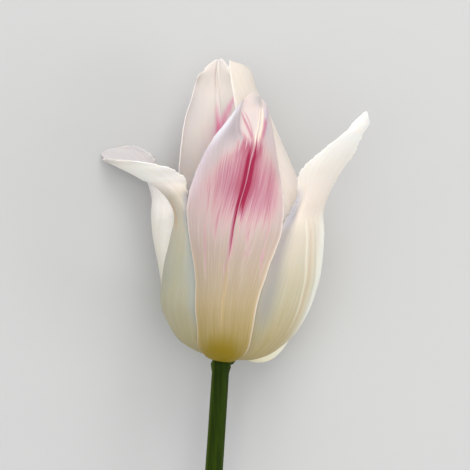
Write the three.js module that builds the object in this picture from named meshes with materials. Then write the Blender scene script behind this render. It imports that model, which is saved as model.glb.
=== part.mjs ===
// A single cut tulip with its stem, lying on its back on a level surface.
//
// Millimetres, +Z up. The bloom points along +Y and the cut end of the stem along -Y. The side of
// the bloom that is seen first, with its flamed tepal, faces up. The origin lies on the surface,
// under the middle of the flower's length and width.
//
// The bloom is laid out in its own coordinates. An azimuth turns round the bloom's axis from the
// upper side (0) towards +X (90). A profile gives the half section of the closed cup, as radius
// and height above the foot of the bloom. Every tepal is a thin sheet hung on three rails, its
// two edges and its midrib, whose points are [azimuth, way along the profile, way out of it].

import * as THREE from 'three';

// Driving dimensions
const TEPAL_THICKNESS = 0.7;
const LAYER_PITCH = 1.05;
const AXIS_HEIGHT = 20.35;
const STEM_LENGTH = 134;
const STEM_RADIUS_TOP = 2.4;
const STEM_RADIUS_CUT = 2.9;
const STEM_DROOP = 1.6;
const RECEPTACLE_RADIUS = 3.2;
const RECEPTACLE_TOP = 4.2;
const SEAT_GAP = 0.3;
const OVARY_TOP = 21;
const STIGMA_TOP = 24.5;
const STAMEN_COUNT = 6;
const FILAMENT_TOP = 13;
const ANTHER_LENGTH = 10.5;
const FLOWER_CENTRE = { x: 3.2, y: -25.5 };

// Grid steps of a tepal across and along, and round and along the other pieces
const ACROSS = 12;
const ALONG = 26;
const ROUND = 14;
const STEM_STEPS = 22;

// Half section of the closed cup: [radius, height]
const PROFILE = [
  [3.5, 0.3], [5.2, 0.32], [8.8, 1.0], [12.8, 2.8], [16.2, 5.6], [19.2, 9.6], [21.8, 15.0],
  [22.9, 21.0], [23.2, 28.0], [22.8, 36.0], [21.2, 44.0], [18.8, 52.5], [16.0, 61.0],
  [13.0, 69.5], [9.8, 78.0], [6.4, 86.0],
];

// The bloom's axis wanders a little and its cross sections tilt: [height, sideways, tilt in degrees]
const BENT_AXIS = [
  [-4, -0.6, 9], [0, 0.3, 9], [1.5, 1.2, 9], [3, 2, 7], [5.3, 2.7, 4], [9, 3.3, 3],
  [15, 4.0, 1], [19, 4.6, 0], [23, 5.3, -1], [29, 5.5, -1], [36, 5.2, -1.5], [42, 4.8, -2],
  [59, 3.1, -5], [73, 1.4, -6], [84, 0.3, -6], [92, -0.6, -6],
];

// The front tepal lies over its neighbours and leans in to a pinched tip.
const FRONT_RAILS = [
  [[-37, 0, 0], [-9, 0, 0], [19, 0, 0]],
  [[-40, 9, 0], [-9, 9, 0], [22, 9, 0]],
  [[-34, 18, 0], [-9, 18, 0], [17, 18, 0]],
  [[-33, 28, 0], [-9, 28, 0], [15, 28, 0]],
  [[-35, 37, 0], [-8.5, 37, 0], [20, 37, 0]],
  [[-38, 45.5, 0], [-4, 45.5, 0], [30, 45.5, 0]],
  [[-41, 53, 0], [2, 53, 0], [36, 53, 0]],
  [[-38.5, 60, 0], [10, 60, 0], [39, 60, 0]],
  [[-31, 67, 0], [18, 67, 0.2], [43, 67, 0]],
  [[-18, 73.5, 0], [27, 73.5, 0.4], [49, 73.5, 0]],
  [[1, 79, 0], [34, 79.5, 0.6], [56, 79, 0]],
  [[18, 83, 0.3], [38, 84.8, 1], [56, 83.6, 0.4]],
];

// The left tepal leaves the cup at its neck and reaches out level, as an open channel.
const LEFT_RAILS = [
  [[-97, 0, 0], [-69, 0, 0], [-41, 0, 0]],
  [[-99, 9, 0.1], [-66, 9, 0], [-34, 9, 0]],
  [[-97, 18, -0.1], [-62, 18, 0], [-27, 18, 0]],
  [[-92, 28, -0.1], [-58, 28, 0], [-23, 28, 0]],
  [[-79, 37, -0.1], [-54, 37, 0], [-22, 37, -0.1]],
  [[-71, 45, -1.3], [-50, 45, -0.1], [-24, 45, -0.5]],
  [[-67, 51.8, -1.5], [-48.5, 51.4, 0.2], [-35, 52, -0.8]],
  [[-62, 56.1, 1.6], [-49, 56, 3.2], [-42, 57, -0.4]],
  [[-59.5, 59, 7], [-49, 58.7, 7.6], [-43.5, 60.2, 2]],
  [[-58, 59.9, 12], [-48, 59.7, 11.6], [-39.5, 61, 6]],
  [[-56.5, 60.8, 16.8], [-47, 60.2, 16], [-35.5, 61.4, 11.5]],
  [[-55.5, 61.5, 21.6], [-47.5, 60.7, 20], [-38, 61.6, 16.5]],
  [[-55, 61.8, 24.6], [-50, 61.5, 24.6], [-43, 62, 22]],
  [[-54.9, 61.9, 25.6], [-53.5, 62, 26.6], [-51, 62.4, 26]],
];

// The right tepal wraps the right flank and rises out of the cup at a steeper slope.
const RIGHT_RAILS = [
  [[23, 0, 0], [51, 0, 0], [79, 0, 0]],
  [[18, 9, 0], [51, 9, 0], [83, 9, 0]],
  [[10, 18, 0], [51, 18, 0], [92, 18, 0.2]],
  [[8, 28, 0], [51, 28, 0], [97, 28, 0.2]],
  [[12, 37, 0], [53, 37, 0.3], [98, 37, 0.6]],
  [[24, 45, 0], [58, 45, 0.9], [97, 45, 1.5]],
  [[37, 50, 0.2], [62, 50, 1.5], [92, 50.6, 2.4]],
  [[43, 54.3, 3.4], [60.5, 54.2, 5.2], [86, 54.4, 5.2]],
  [[41, 58, 7.6], [58.5, 58, 9.8], [82.5, 57.5, 9.2]],
  [[42, 60.4, 11.6], [58, 60.5, 14.6], [78.5, 60.3, 14.2]],
  [[47, 62.4, 17], [58, 62.4, 19], [72.5, 62.4, 18.6]],
  [[53, 64.5, 23], [59, 64.6, 24.2], [67, 64.6, 23.4]],
  [[56, 66.1, 25.4], [59.4, 66.4, 26.7], [64.6, 66.1, 26]],
  [[58.8, 67.3, 27.1], [60.7, 67.6, 27.6], [62.5, 67.1, 27.4]],
];

// The back left tepal bends out and down until its tip touches the surface.
const BACK_LEFT_RAILS = [
  [[-157, 0, 0], [-129, 0, 0], [-101, 0, 0]],
  [[-163, 9, 0], [-129, 9, 0.2], [-93, 9, -0.2]],
  [[-167, 18, 0], [-128, 18, 0.4], [-86, 18, -0.2]],
  [[-168, 28, 0], [-127, 28, 0.6], [-82, 28, -0.2]],
  [[-167, 36, 0], [-126, 36, 1.2], [-84, 36, 0.3]],
  [[-164, 45, 0], [-124, 45, 2.8], [-91, 45, 2.5]],
  [[-157, 51.5, 1.6], [-121, 51.5, 5], [-95, 52, 3]],
  [[-150, 56.4, 4], [-122, 56, 6.9], [-97, 56.2, 4.2]],
  [[-140, 60.6, 9.1], [-122.5, 60, 10.2], [-101.7, 60.3, 6.8]],
  [[-134, 62.8, 13.1], [-123, 61.8, 13.4], [-107, 62, 11.1]],
  [[-131, 65.6, 16], [-122.5, 63.4, 16.6], [-110.7, 62.8, 15.1]],
  [[-128.3, 68.4, 18.6], [-121, 65, 19.7], [-112, 63.3, 19]],
  [[-124.3, 68.6, 21.9], [-119.3, 65.6, 22.8], [-113.4, 63.8, 22.4]],
  [[-118.3, 66.6, 26.6], [-116.7, 65.4, 26.8], [-115.9, 64.4, 26]],
];

// The back right tepal stands tall behind the front one and carries the bloom's weight.
const BACK_RIGHT_RAILS = [
  [[83, 0, 0], [111, 0, 0], [139, 0, 0]],
  [[87, 9, 0.6], [112, 9, 2.3], [146, 9, 0.6]],
  [[85, 18, -0.4], [114, 18, 1.1], [152, 18, 0.9]],
  [[76, 28, -0.4], [115, 28, 0.7], [156, 28, 1]],
  [[75, 37, -0.2], [116, 37, 0.9], [158, 37, 1]],
  [[66, 45, 0], [112, 45, 0.8], [158, 45, 0.6]],
  [[46, 53, 0], [106, 53, 0], [159, 53, 0]],
  [[37, 62, 0.4], [102, 62, -0.5], [160, 62, 0.1]],
  [[36, 71, 0.6], [100, 71, -0.5], [161, 71, 0.2]],
  [[42, 80, 0.4], [104, 80, 0], [162, 80, 0.2]],
  [[60, 88, 0], [114, 88, 0.1], [160, 88, 0]],
  [[88, 93.5, 0.2], [126, 94, 0.4], [155, 94, 0]],
  [[122, 97, 0], [146, 98.2, 0], [156, 97.6, 0.1]],
];

// The back tepal is the innermost and shows its inner face above the front one.
const BACK_RAILS = [
  [[143, 0, 0], [171, 0, 0], [199, 0, 0]],
  [[136, 9, 0], [173, 9, 0], [210, 9, 0]],
  [[132, 18, 0], [177, 18, -0.3], [220, 18, 0]],
  [[130, 28, 0], [180, 28, -0.6], [228, 28, 0]],
  [[130, 37, 0], [182, 37, -0.6], [234, 37, 0]],
  [[130, 45, 0], [184, 45, -0.6], [240, 45, 0]],
  [[131, 53, -0.2], [187, 53, -0.4], [247, 53, 0]],
  [[134, 62, -0.5], [191, 62, 0], [255, 62, 0.5]],
  [[140, 71, -0.5], [192, 71, 0.3], [258, 71, 1.6]],
  [[145, 80, -0.3], [194, 80, 0.6], [256, 80, 2.4]],
  [[151, 88, 0], [196, 88, 0.9], [252, 88, 2.2]],
  [[160, 93.5, 0.6], [197, 94, 1.6], [242, 93.5, 2.2]],
  [[170, 97, 1.6], [190, 98.2, 2.2], [210, 97.3, 2.4]],
];

const COLOURS = {
  front: 0xd2b4b4,
  side: 0xd8d4bc,
  back: 0xe6dcd6,
  stem: 0x3c5210,
  ovary: 0xb9c48a,
  stigma: 0xe6dfa8,
  filament: 0xe4e2c0,
  anther: 0xc9a53a,
};

const radians = THREE.MathUtils.degToRad;
const smoothstep = THREE.MathUtils.smoothstep;

// Value of a table's columns at x, where its first column holds the knots in rising order.
function curve(rows, x) {
  const last = rows.length - 1;
  let i = 0;
  while (i < last - 1 && x > rows[i + 1][0]) i += 1;
  const span = rows[i + 1][0] - rows[i][0];
  const t = (x - rows[i][0]) / span;
  const slope = (j, c) => {
    const before = rows[Math.max(j - 1, 0)];
    const after = rows[Math.min(j + 1, last)];
    return (after[c] - before[c]) / (after[0] - before[0]);
  };
  return rows[0].slice(1).map((_, k) => {
    const c = k + 1;
    const start = rows[i][c];
    const end = rows[i + 1][c];
    const leave = slope(i, c) * span;
    const arrive = slope(i + 1, c) * span;
    if (t < 0) return start + leave * t;
    if (t > 1) return end + arrive * (t - 1);
    return (2 * t ** 3 - 3 * t ** 2 + 1) * start + (t ** 3 - 2 * t ** 2 + t) * leave
      + (3 * t ** 2 - 2 * t ** 3) * end + (t ** 3 - t ** 2) * arrive;
  });
}

// The profile with the way along it as the first column
function measured(profile) {
  const rows = [[0, ...profile[0]]];
  for (let i = 1; i < profile.length; i += 1) {
    const [r, h] = profile[i];
    const [way, r0, h0] = rows[i - 1];
    rows.push([way + Math.hypot(r - r0, h - h0), r, h]);
  }
  return rows;
}

const CUP = measured(PROFILE);

// Point of the bloom at an azimuth, a radius from the bent axis and a height above its foot
function bloomPoint(azimuth, radius, height) {
  const [sideways, tilt] = curve(BENT_AXIS, height);
  const across = radius * Math.sin(radians(azimuth));
  return new THREE.Vector3(
    sideways + across * Math.cos(radians(tilt)) - FLOWER_CENTRE.x,
    height - across * Math.sin(radians(tilt)) - FLOWER_CENTRE.y,
    AXIS_HEIGHT + radius * Math.cos(radians(azimuth)),
  );
}

// Point at a way along the cup's profile and a distance out of it
function cupPoint(azimuth, along, out) {
  const step = 0.05;
  const [r, h] = curve(CUP, along);
  const [r0, h0] = curve(CUP, along - step);
  const [r1, h1] = curve(CUP, along + step);
  const length = Math.hypot(r1 - r0, h1 - h0);
  return bloomPoint(azimuth, r + (out * (h1 - h0)) / length, h - (out * (r1 - r0)) / length);
}

// Sheet of a tepal as a function of u, from edge (-1) to edge (1), and v, from foot (0) to tip (1)
function tepalSurface(rails, layer, relief) {
  const rows = rails.map((row, i) => [i / (rails.length - 1), ...row.flat()]);
  return (u, v) => {
    const row = curve(rows, v);
    const weights = [(u * (u - 1)) / 2, 1 - u * u, (u * (u + 1)) / 2];
    const mix = (k) => weights[0] * row[k] + weights[1] * row[3 + k] + weights[2] * row[6 + k];
    return cupPoint(mix(0), mix(1), mix(2) - layer * LAYER_PITCH + relief(u, v));
  };
}

function unitNormal(surface, u, v) {
  const step = 0.004;
  const u0 = Math.max(u - step, -1);
  const u1 = Math.min(u + step, 1);
  const v0 = Math.max(v - step, 0);
  const v1 = Math.min(v + step, 1);
  const across = surface(u1, v).sub(surface(u0, v));
  const along = surface(u, v1).sub(surface(u, v0));
  return across.cross(along).normalize().negate();
}

function geometryFrom(points, faces) {
  const geometry = new THREE.BufferGeometry();
  geometry.setAttribute('position', new THREE.Float32BufferAttribute(points.flatMap((p) => p.toArray()), 3));
  geometry.setIndex(faces.flat());
  geometry.computeVertexNormals();
  return geometry;
}

// Closed thin solid on both sides of a sheet, with the same triangles on both faces. Where the
// sheet would reach below the surface that the flower lies on, it lies flat on it.
function sheetSolid(surface, thickness) {
  const points = [];
  const faces = [];
  const columns = ACROSS + 1;
  const offset = columns * (ALONG + 1);
  const quad = (a, b, c, d) => faces.push([a, b, c], [a, c, d]);
  for (const side of [0.5, -0.5]) {
    for (let j = 0; j <= ALONG; j += 1) {
      for (let i = 0; i <= ACROSS; i += 1) {
        const u = -1 + (2 * i) / ACROSS;
        const v = j / ALONG;
        const normal = unitNormal(surface, u, v);
        const middle = surface(u, v);
        middle.z = Math.max(middle.z, (thickness / 2) * Math.abs(normal.z));
        points.push(middle.addScaledVector(normal, side * thickness));
      }
    }
  }
  for (let j = 0; j < ALONG; j += 1) {
    for (let i = 0; i < ACROSS; i += 1) {
      const a = j * columns + i;
      const b = a + 1;
      const c = b + columns;
      const d = a + columns;
      quad(a, d, c, b);
      faces.push([offset + a, offset + c, offset + d], [offset + a, offset + b, offset + c]);
    }
  }
  const rim = [];
  for (let i = 0; i < ACROSS; i += 1) rim.push(i);
  for (let j = 0; j < ALONG; j += 1) rim.push(ACROSS + j * columns);
  for (let i = ACROSS; i > 0; i -= 1) rim.push(ALONG * columns + i);
  for (let j = ALONG; j > 0; j -= 1) rim.push(j * columns);
  rim.forEach((a, i) => {
    const b = rim[(i + 1) % rim.length];
    quad(a, b, offset + b, offset + a);
  });
  return geometryFrom(points, faces);
}

// Closed solid through rings of equally many points, each end closed by a fan from its centre
function ringSolid(rings) {
  const count = rings[0].length;
  const points = rings.flat();
  const faces = [];
  for (let j = 0; j < rings.length - 1; j += 1) {
    for (let i = 0; i < count; i += 1) {
      const a = j * count + i;
      const b = j * count + ((i + 1) % count);
      faces.push([a, b, b + count], [a, b + count, a + count]);
    }
  }
  const centre = (ring) => ring.reduce((sum, p) => sum.add(p), new THREE.Vector3()).divideScalar(count);
  const top = (rings.length - 1) * count;
  const ends = [points.push(centre(rings[0])) - 1, points.push(centre(rings.at(-1))) - 1];
  for (let i = 0; i < count; i += 1) {
    const next = (i + 1) % count;
    faces.push([ends[0], next, i], [ends[1], top + i, top + next]);
  }
  return geometryFrom(points, faces);
}

function addPiece(group, name, geometry, colour, roughness) {
  const material = new THREE.MeshStandardMaterial({ color: colour, roughness, metalness: 0 });
  const mesh = new THREE.Mesh(geometry, material);
  mesh.name = name;
  group.add(mesh);
}

// Near its tip the front tepal has a valley along the midrib between two crests.
function pinchedTip(u, v) {
  const width = THREE.MathUtils.lerp(0.2, 0.5, smoothstep(v, 0.75, 1));
  return -1.8 * smoothstep(v, 0.74, 0.94) * Math.exp(-((u / width) ** 2));
}

// The edges of a tepal that reaches out of the cup run in slow waves.
function wavedEdges(u, v) {
  return 0.5 * smoothstep(v, 0.55, 0.75) * u ** 4 * Math.sin(34 * v + 2 * u);
}

function flat() {
  return 0;
}

function buildTepals(group) {
  const tepals = [
    ['tepal_front', FRONT_RAILS, 0, pinchedTip, COLOURS.front],
    ['tepal_left', LEFT_RAILS, 1, wavedEdges, COLOURS.side],
    ['tepal_right', RIGHT_RAILS, 1, wavedEdges, COLOURS.side],
    ['tepal_back_left', BACK_LEFT_RAILS, 2, wavedEdges, COLOURS.back],
    ['tepal_back_right', BACK_RIGHT_RAILS, 2, flat, COLOURS.back],
    ['tepal_back', BACK_RAILS, 3, flat, COLOURS.back],
  ];
  for (const [name, rails, layer, relief, colour] of tepals) {
    const surface = tepalSurface(rails, layer, relief);
    addPiece(group, name, sheetSolid(surface, TEPAL_THICKNESS), colour, 0.6);
  }
}

// Ring of the bloom at a height, with a radius that may change with the azimuth
function bloomRing(radius, height) {
  return Array.from({ length: ROUND }, (_, i) => {
    const azimuth = (360 * i) / ROUND;
    return bloomPoint(azimuth, radius(azimuth), height);
  });
}

// Middle of the stem at a share of its length, from the foot of the bloom (0) to the cut (1)
function stemMiddle(t) {
  const foot = bloomPoint(0, 0, -1.2);
  return new THREE.Vector3(
    foot.x - 8.5 * t - 1.5 * t * t,
    foot.y - STEM_LENGTH * t,
    THREE.MathUtils.lerp(AXIS_HEIGHT, STEM_RADIUS_CUT * 0.9, t ** STEM_DROOP),
  );
}

// The stem hangs from the bloom in one slow bend, until its cut end lies on the surface. At its
// top it widens into the receptacle, whose wall the tepals' feet stand round.
function buildStem(group) {
  const rings = [];
  for (let k = 0; k <= STEM_STEPS; k += 1) {
    const t = 1 - k / STEM_STEPS;
    const radius = THREE.MathUtils.lerp(STEM_RADIUS_TOP, STEM_RADIUS_CUT, t);
    const middle = stemMiddle(t);
    const way = stemMiddle(t + 0.001).sub(stemMiddle(Math.max(t - 0.001, 0))).normalize();
    const side = new THREE.Vector3(0, 0, 1).cross(way).normalize().negate();
    const up = way.clone().cross(side).normalize().negate();
    rings.push(Array.from({ length: ROUND }, (_, i) => {
      const angle = (2 * Math.PI * i) / ROUND;
      const point = middle.clone().addScaledVector(side, -radius * Math.sin(angle));
      point.addScaledVector(up, radius * Math.cos(angle));
      return point.setZ(Math.max(point.z, 0));
    }));
  }
  rings.push(bloomRing(() => RECEPTACLE_RADIUS, -0.1));
  rings.push(bloomRing(() => RECEPTACLE_RADIUS, RECEPTACLE_TOP / 2));
  rings.push(bloomRing(() => RECEPTACLE_RADIUS, RECEPTACLE_TOP));
  addPiece(group, 'stem', ringSolid(rings), COLOURS.stem, 0.5);
}

// Solid round the bloom's axis with three lobes, from rows of [height, radius, depth of lobes]
function lobedSolid(rows) {
  return ringSolid(rows.map(([height, radius, lobes]) => (
    bloomRing((azimuth) => radius * (1 + lobes * Math.cos(radians(3 * azimuth))), height)
  )));
}

function buildPistil(group) {
  const foot = RECEPTACLE_TOP + SEAT_GAP;
  const ovary = [
    [foot, 1.6, 0], [6.5, 2.3, 0.06], [10, 3, 0.1], [15, 3.1, 0.12], [19, 2.6, 0.1], [OVARY_TOP, 2.1, 0.05],
  ];
  const neck = OVARY_TOP + SEAT_GAP;
  const stigma = [
    [neck, 2.2, 0.1], [22.3, 3.6, 0.25], [23.4, 4.4, 0.3], [STIGMA_TOP, 2.6, 0.2],
  ];
  addPiece(group, 'pistil_ovary', lobedSolid(ovary), COLOURS.ovary, 0.55);
  addPiece(group, 'pistil_stigma', lobedSolid(stigma), COLOURS.stigma, 0.75);
}

// Round rod between rows of [radius from the axis, height, half width, half thickness]
function rodSolid(azimuth, rows, sides) {
  return ringSolid(rows.map(([radius, height, width, thickness]) => (
    Array.from({ length: sides }, (_, i) => {
      const angle = (2 * Math.PI * i) / sides;
      const turn = THREE.MathUtils.radToDeg((width * Math.sin(angle)) / radius);
      return bloomPoint(azimuth + turn, radius + thickness * Math.cos(angle), height);
    })
  )));
}

function buildStamens(group) {
  const foot = RECEPTACLE_TOP + SEAT_GAP;
  const seat = FILAMENT_TOP + SEAT_GAP;
  const filament = [
    [2.65, foot, 0.5, 0.4], [4.7, 8.5, 0.7, 0.5], [6, FILAMENT_TOP - 1, 0.6, 0.5], [6.2, FILAMENT_TOP, 0.4, 0.4],
  ];
  const anther = [
    [6.3, seat, 0.7, 0.6], [6.5, seat + 1.5, 1.2, 0.9], [7, seat + ANTHER_LENGTH * 0.5, 1.3, 0.9],
    [7.4, seat + ANTHER_LENGTH * 0.85, 1.1, 0.8], [7.6, seat + ANTHER_LENGTH, 0.5, 0.4],
  ];
  for (let k = 0; k < STAMEN_COUNT; k += 1) {
    const azimuth = 21 + (360 * k) / STAMEN_COUNT;
    addPiece(group, `filament_${k + 1}`, rodSolid(azimuth, filament, 8), COLOURS.filament, 0.6);
    addPiece(group, `anther_${k + 1}`, rodSolid(azimuth, anther, 8), COLOURS.anther, 0.8);
  }
}

function buildTulip() {
  const tulip = new THREE.Group();
  tulip.name = 'tulip';
  buildTepals(tulip);
  buildStem(tulip);
  buildPistil(tulip);
  buildStamens(tulip);
  return tulip;
}

export default buildTulip();
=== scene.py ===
"""A cut tulip that lies on its back on a plain pale floor.

Sizes are in millimetres and meshes in metres. The bloom has coordinates of its own: an azimuth
round its axis (0 up, 90 towards +X), a way along the cup's profile and a distance out of it. The
frame's tepals are laid out the same way, so every finished piece stands where its solid does.
"""

import logging
import math
from collections.abc import Callable, Mapping, Sequence
from dataclasses import dataclass, field
from enum import Enum

import bpy
import numpy as np
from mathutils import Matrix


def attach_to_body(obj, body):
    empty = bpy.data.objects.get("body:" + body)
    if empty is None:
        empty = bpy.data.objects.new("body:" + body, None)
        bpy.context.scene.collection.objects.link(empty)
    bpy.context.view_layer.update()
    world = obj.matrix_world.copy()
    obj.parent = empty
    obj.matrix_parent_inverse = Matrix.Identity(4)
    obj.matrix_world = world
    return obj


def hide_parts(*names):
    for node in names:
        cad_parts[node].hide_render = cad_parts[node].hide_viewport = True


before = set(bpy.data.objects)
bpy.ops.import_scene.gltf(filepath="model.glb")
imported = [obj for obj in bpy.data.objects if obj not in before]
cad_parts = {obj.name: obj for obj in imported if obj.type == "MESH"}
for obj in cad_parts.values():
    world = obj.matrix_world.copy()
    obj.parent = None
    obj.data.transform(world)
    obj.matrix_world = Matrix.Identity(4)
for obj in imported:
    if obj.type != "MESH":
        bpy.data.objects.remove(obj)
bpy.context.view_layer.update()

LOG = logging.getLogger("tulip")
Array = np.ndarray
Colour = tuple[float, float, float, float]
Stops = tuple[tuple[float, Colour], ...]
MM = 0.001

# Least height above the floor, in millimetres, of a skin and of the middle of a sheet
SKIN_GAP = 0.02
SHEET_GAP = 0.03


# Shape


def curve(knots: Array, columns: Array, x: Array) -> Array:
    """Run smooth curves through the rows of a table.

    Args:
        knots: Rising positions of the rows.
        columns: One row of values for each knot.
        x: Positions to read, of any shape.

    Returns:
        The values at x, with one more axis for the columns. Past the ends the curves go straight.
    """
    last = len(knots) - 1
    before = np.maximum(np.arange(last + 1) - 1, 0)
    after = np.minimum(np.arange(last + 1) + 1, last)
    slopes = (columns[after] - columns[before]) / (knots[after] - knots[before])[:, None]
    i = np.clip(np.searchsorted(knots, x) - 1, 0, last - 1)
    span = (knots[i + 1] - knots[i])[..., None]
    t = (x - knots[i])[..., None] / span
    inner = np.clip(t, 0.0, 1.0)
    leave = slopes[i] * span
    arrive = slopes[i + 1] * span
    value = (2 * inner**3 - 3 * inner**2 + 1) * columns[i]
    value += (inner**3 - 2 * inner**2 + inner) * leave
    value += (3 * inner**2 - 2 * inner**3) * columns[i + 1]
    value += (inner**3 - inner**2) * arrive
    return value + np.minimum(t, 0.0) * leave + np.maximum(t - 1.0, 0.0) * arrive


def smooth(x: Array, low: float, high: float) -> Array:
    """Ease from 0 at low to 1 at high."""
    t = np.clip((x - low) / (high - low), 0.0, 1.0)
    return t * t * (3 - 2 * t)


def hump(x: Array, centre: float | Array, width: float | Array) -> Array:
    """Bell curve of height 1 round a centre."""
    return np.exp(-(((x - centre) / width) ** 2))


def wander(x: Array, seed: int, waves: int = 6) -> Array:
    """Give a smooth, aimless line between about -1 and 1.

    Args:
        x: Position along the line, in waves.
        seed: Number that fixes the draw.
        waves: How many sine waves make it up.

    Returns:
        The line's height at x.
    """
    draw = np.random.default_rng(seed)
    total = np.zeros_like(x)
    for k in range(waves):
        rate = draw.uniform(0.6, 1.4) * (1 + 0.7 * k)
        total += np.sin(2 * math.pi * (rate * x + draw.uniform())) / (1 + 0.6 * k)
    return total / 2.4


@dataclass(frozen=True)
class Cup:
    """The closed cup that the six tepals stand on."""

    profile: Array = field(default_factory=lambda: np.array([
        (3.5, 0.3), (5.2, 0.32), (8.8, 1.0), (12.8, 2.8), (16.2, 5.6), (19.2, 9.6), (21.8, 15.0),
        (22.9, 21.0), (23.2, 28.0), (22.8, 36.0), (21.2, 44.0), (18.8, 52.5), (16.0, 61.0),
        (13.0, 69.5), (9.8, 78.0), (6.4, 86.0),
    ]))
    bent_axis: Array = field(default_factory=lambda: np.array([
        (-4, -0.6, 9), (0, 0.3, 9), (1.5, 1.2, 9), (3, 2, 7), (5.3, 2.7, 4), (9, 3.3, 3),
        (15, 4.0, 1), (19, 4.6, 0), (23, 5.3, -1), (29, 5.5, -1), (36, 5.2, -1.5), (42, 4.8, -2),
        (59, 3.1, -5), (73, 1.4, -6), (84, 0.3, -6), (92, -0.6, -6),
    ], float))
    axis_height: float = 20.35
    centre_x: float = 3.2
    centre_y: float = -25.5
    layer_pitch: float = 1.05

    def point(self, azimuth: Array, radius: Array, height: Array) -> Array:
        """Place points round the bent axis.

        Args:
            azimuth: Degrees round the axis.
            radius: Distance from the axis.
            height: Height above the foot of the bloom.

        Returns:
            Points in the frame, in millimetres.
        """
        bend = curve(self.bent_axis[:, 0], self.bent_axis[:, 1:], np.asarray(height, float))
        tilt = np.radians(bend[..., 1])
        across = radius * np.sin(np.radians(azimuth))
        x = bend[..., 0] + across * np.cos(tilt) - self.centre_x
        y = height - across * np.sin(tilt) - self.centre_y
        z = self.axis_height + radius * np.cos(np.radians(azimuth))
        return np.stack(np.broadcast_arrays(x, y, z), axis=-1)

    def surface(self, azimuth: Array, along: Array, out: Array) -> Array:
        """Place points at a way along the profile and a distance out of it.

        Args:
            azimuth: Degrees round the axis.
            along: Way along the profile from the foot.
            out: Distance out of the profile.

        Returns:
            Points in the frame, in millimetres.
        """
        steps = np.hypot(*np.diff(self.profile, axis=0).T)
        way = np.concatenate([[0.0], np.cumsum(steps)])
        here = curve(way, self.profile, along)
        ahead = curve(way, self.profile, along + 0.05)
        behind = curve(way, self.profile, along - 0.05)
        run = ahead - behind
        run /= np.linalg.norm(run, axis=-1, keepdims=True)
        radius = here[..., 0] + out * run[..., 1]
        height = here[..., 1] - out * run[..., 0]
        return self.point(azimuth, radius, height)


CUP = Cup()


# Shader and geometry maths


class Socket:
    """An output of a node, with the arithmetic of its graph."""

    def __init__(self, graph: "Graph", link: bpy.types.NodeSocket) -> None:
        """Keep the graph and the output."""
        self.graph = graph
        self.link = link

    def __add__(self, other: "Value") -> "Socket":
        """Sum."""
        return self.graph.math("ADD", self, other)

    def __radd__(self, other: float) -> "Socket":
        """Sum with a number in front."""
        return self.graph.math("ADD", other, self)

    def __sub__(self, other: "Value") -> "Socket":
        """Difference."""
        return self.graph.math("SUBTRACT", self, other)

    def __rsub__(self, other: float) -> "Socket":
        """Difference from a number."""
        return self.graph.math("SUBTRACT", other, self)

    def __mul__(self, other: "Value") -> "Socket":
        """Product."""
        return self.graph.math("MULTIPLY", self, other)

    def __rmul__(self, other: float) -> "Socket":
        """Product with a number in front."""
        return self.graph.math("MULTIPLY", other, self)

    def __truediv__(self, other: "Value") -> "Socket":
        """Quotient."""
        return self.graph.math("DIVIDE", self, other)

    def __pow__(self, other: "Value") -> "Socket":
        """Power."""
        return self.graph.math("POWER", self, other)

    def __abs__(self) -> "Socket":
        """Size without sign."""
        return self.graph.math("ABSOLUTE", self)

    def __gt__(self, other: "Value") -> "Socket":
        """1 where greater, 0 elsewhere."""
        return self.graph.math("GREATER_THAN", self, other)


Value = Socket | float


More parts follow.
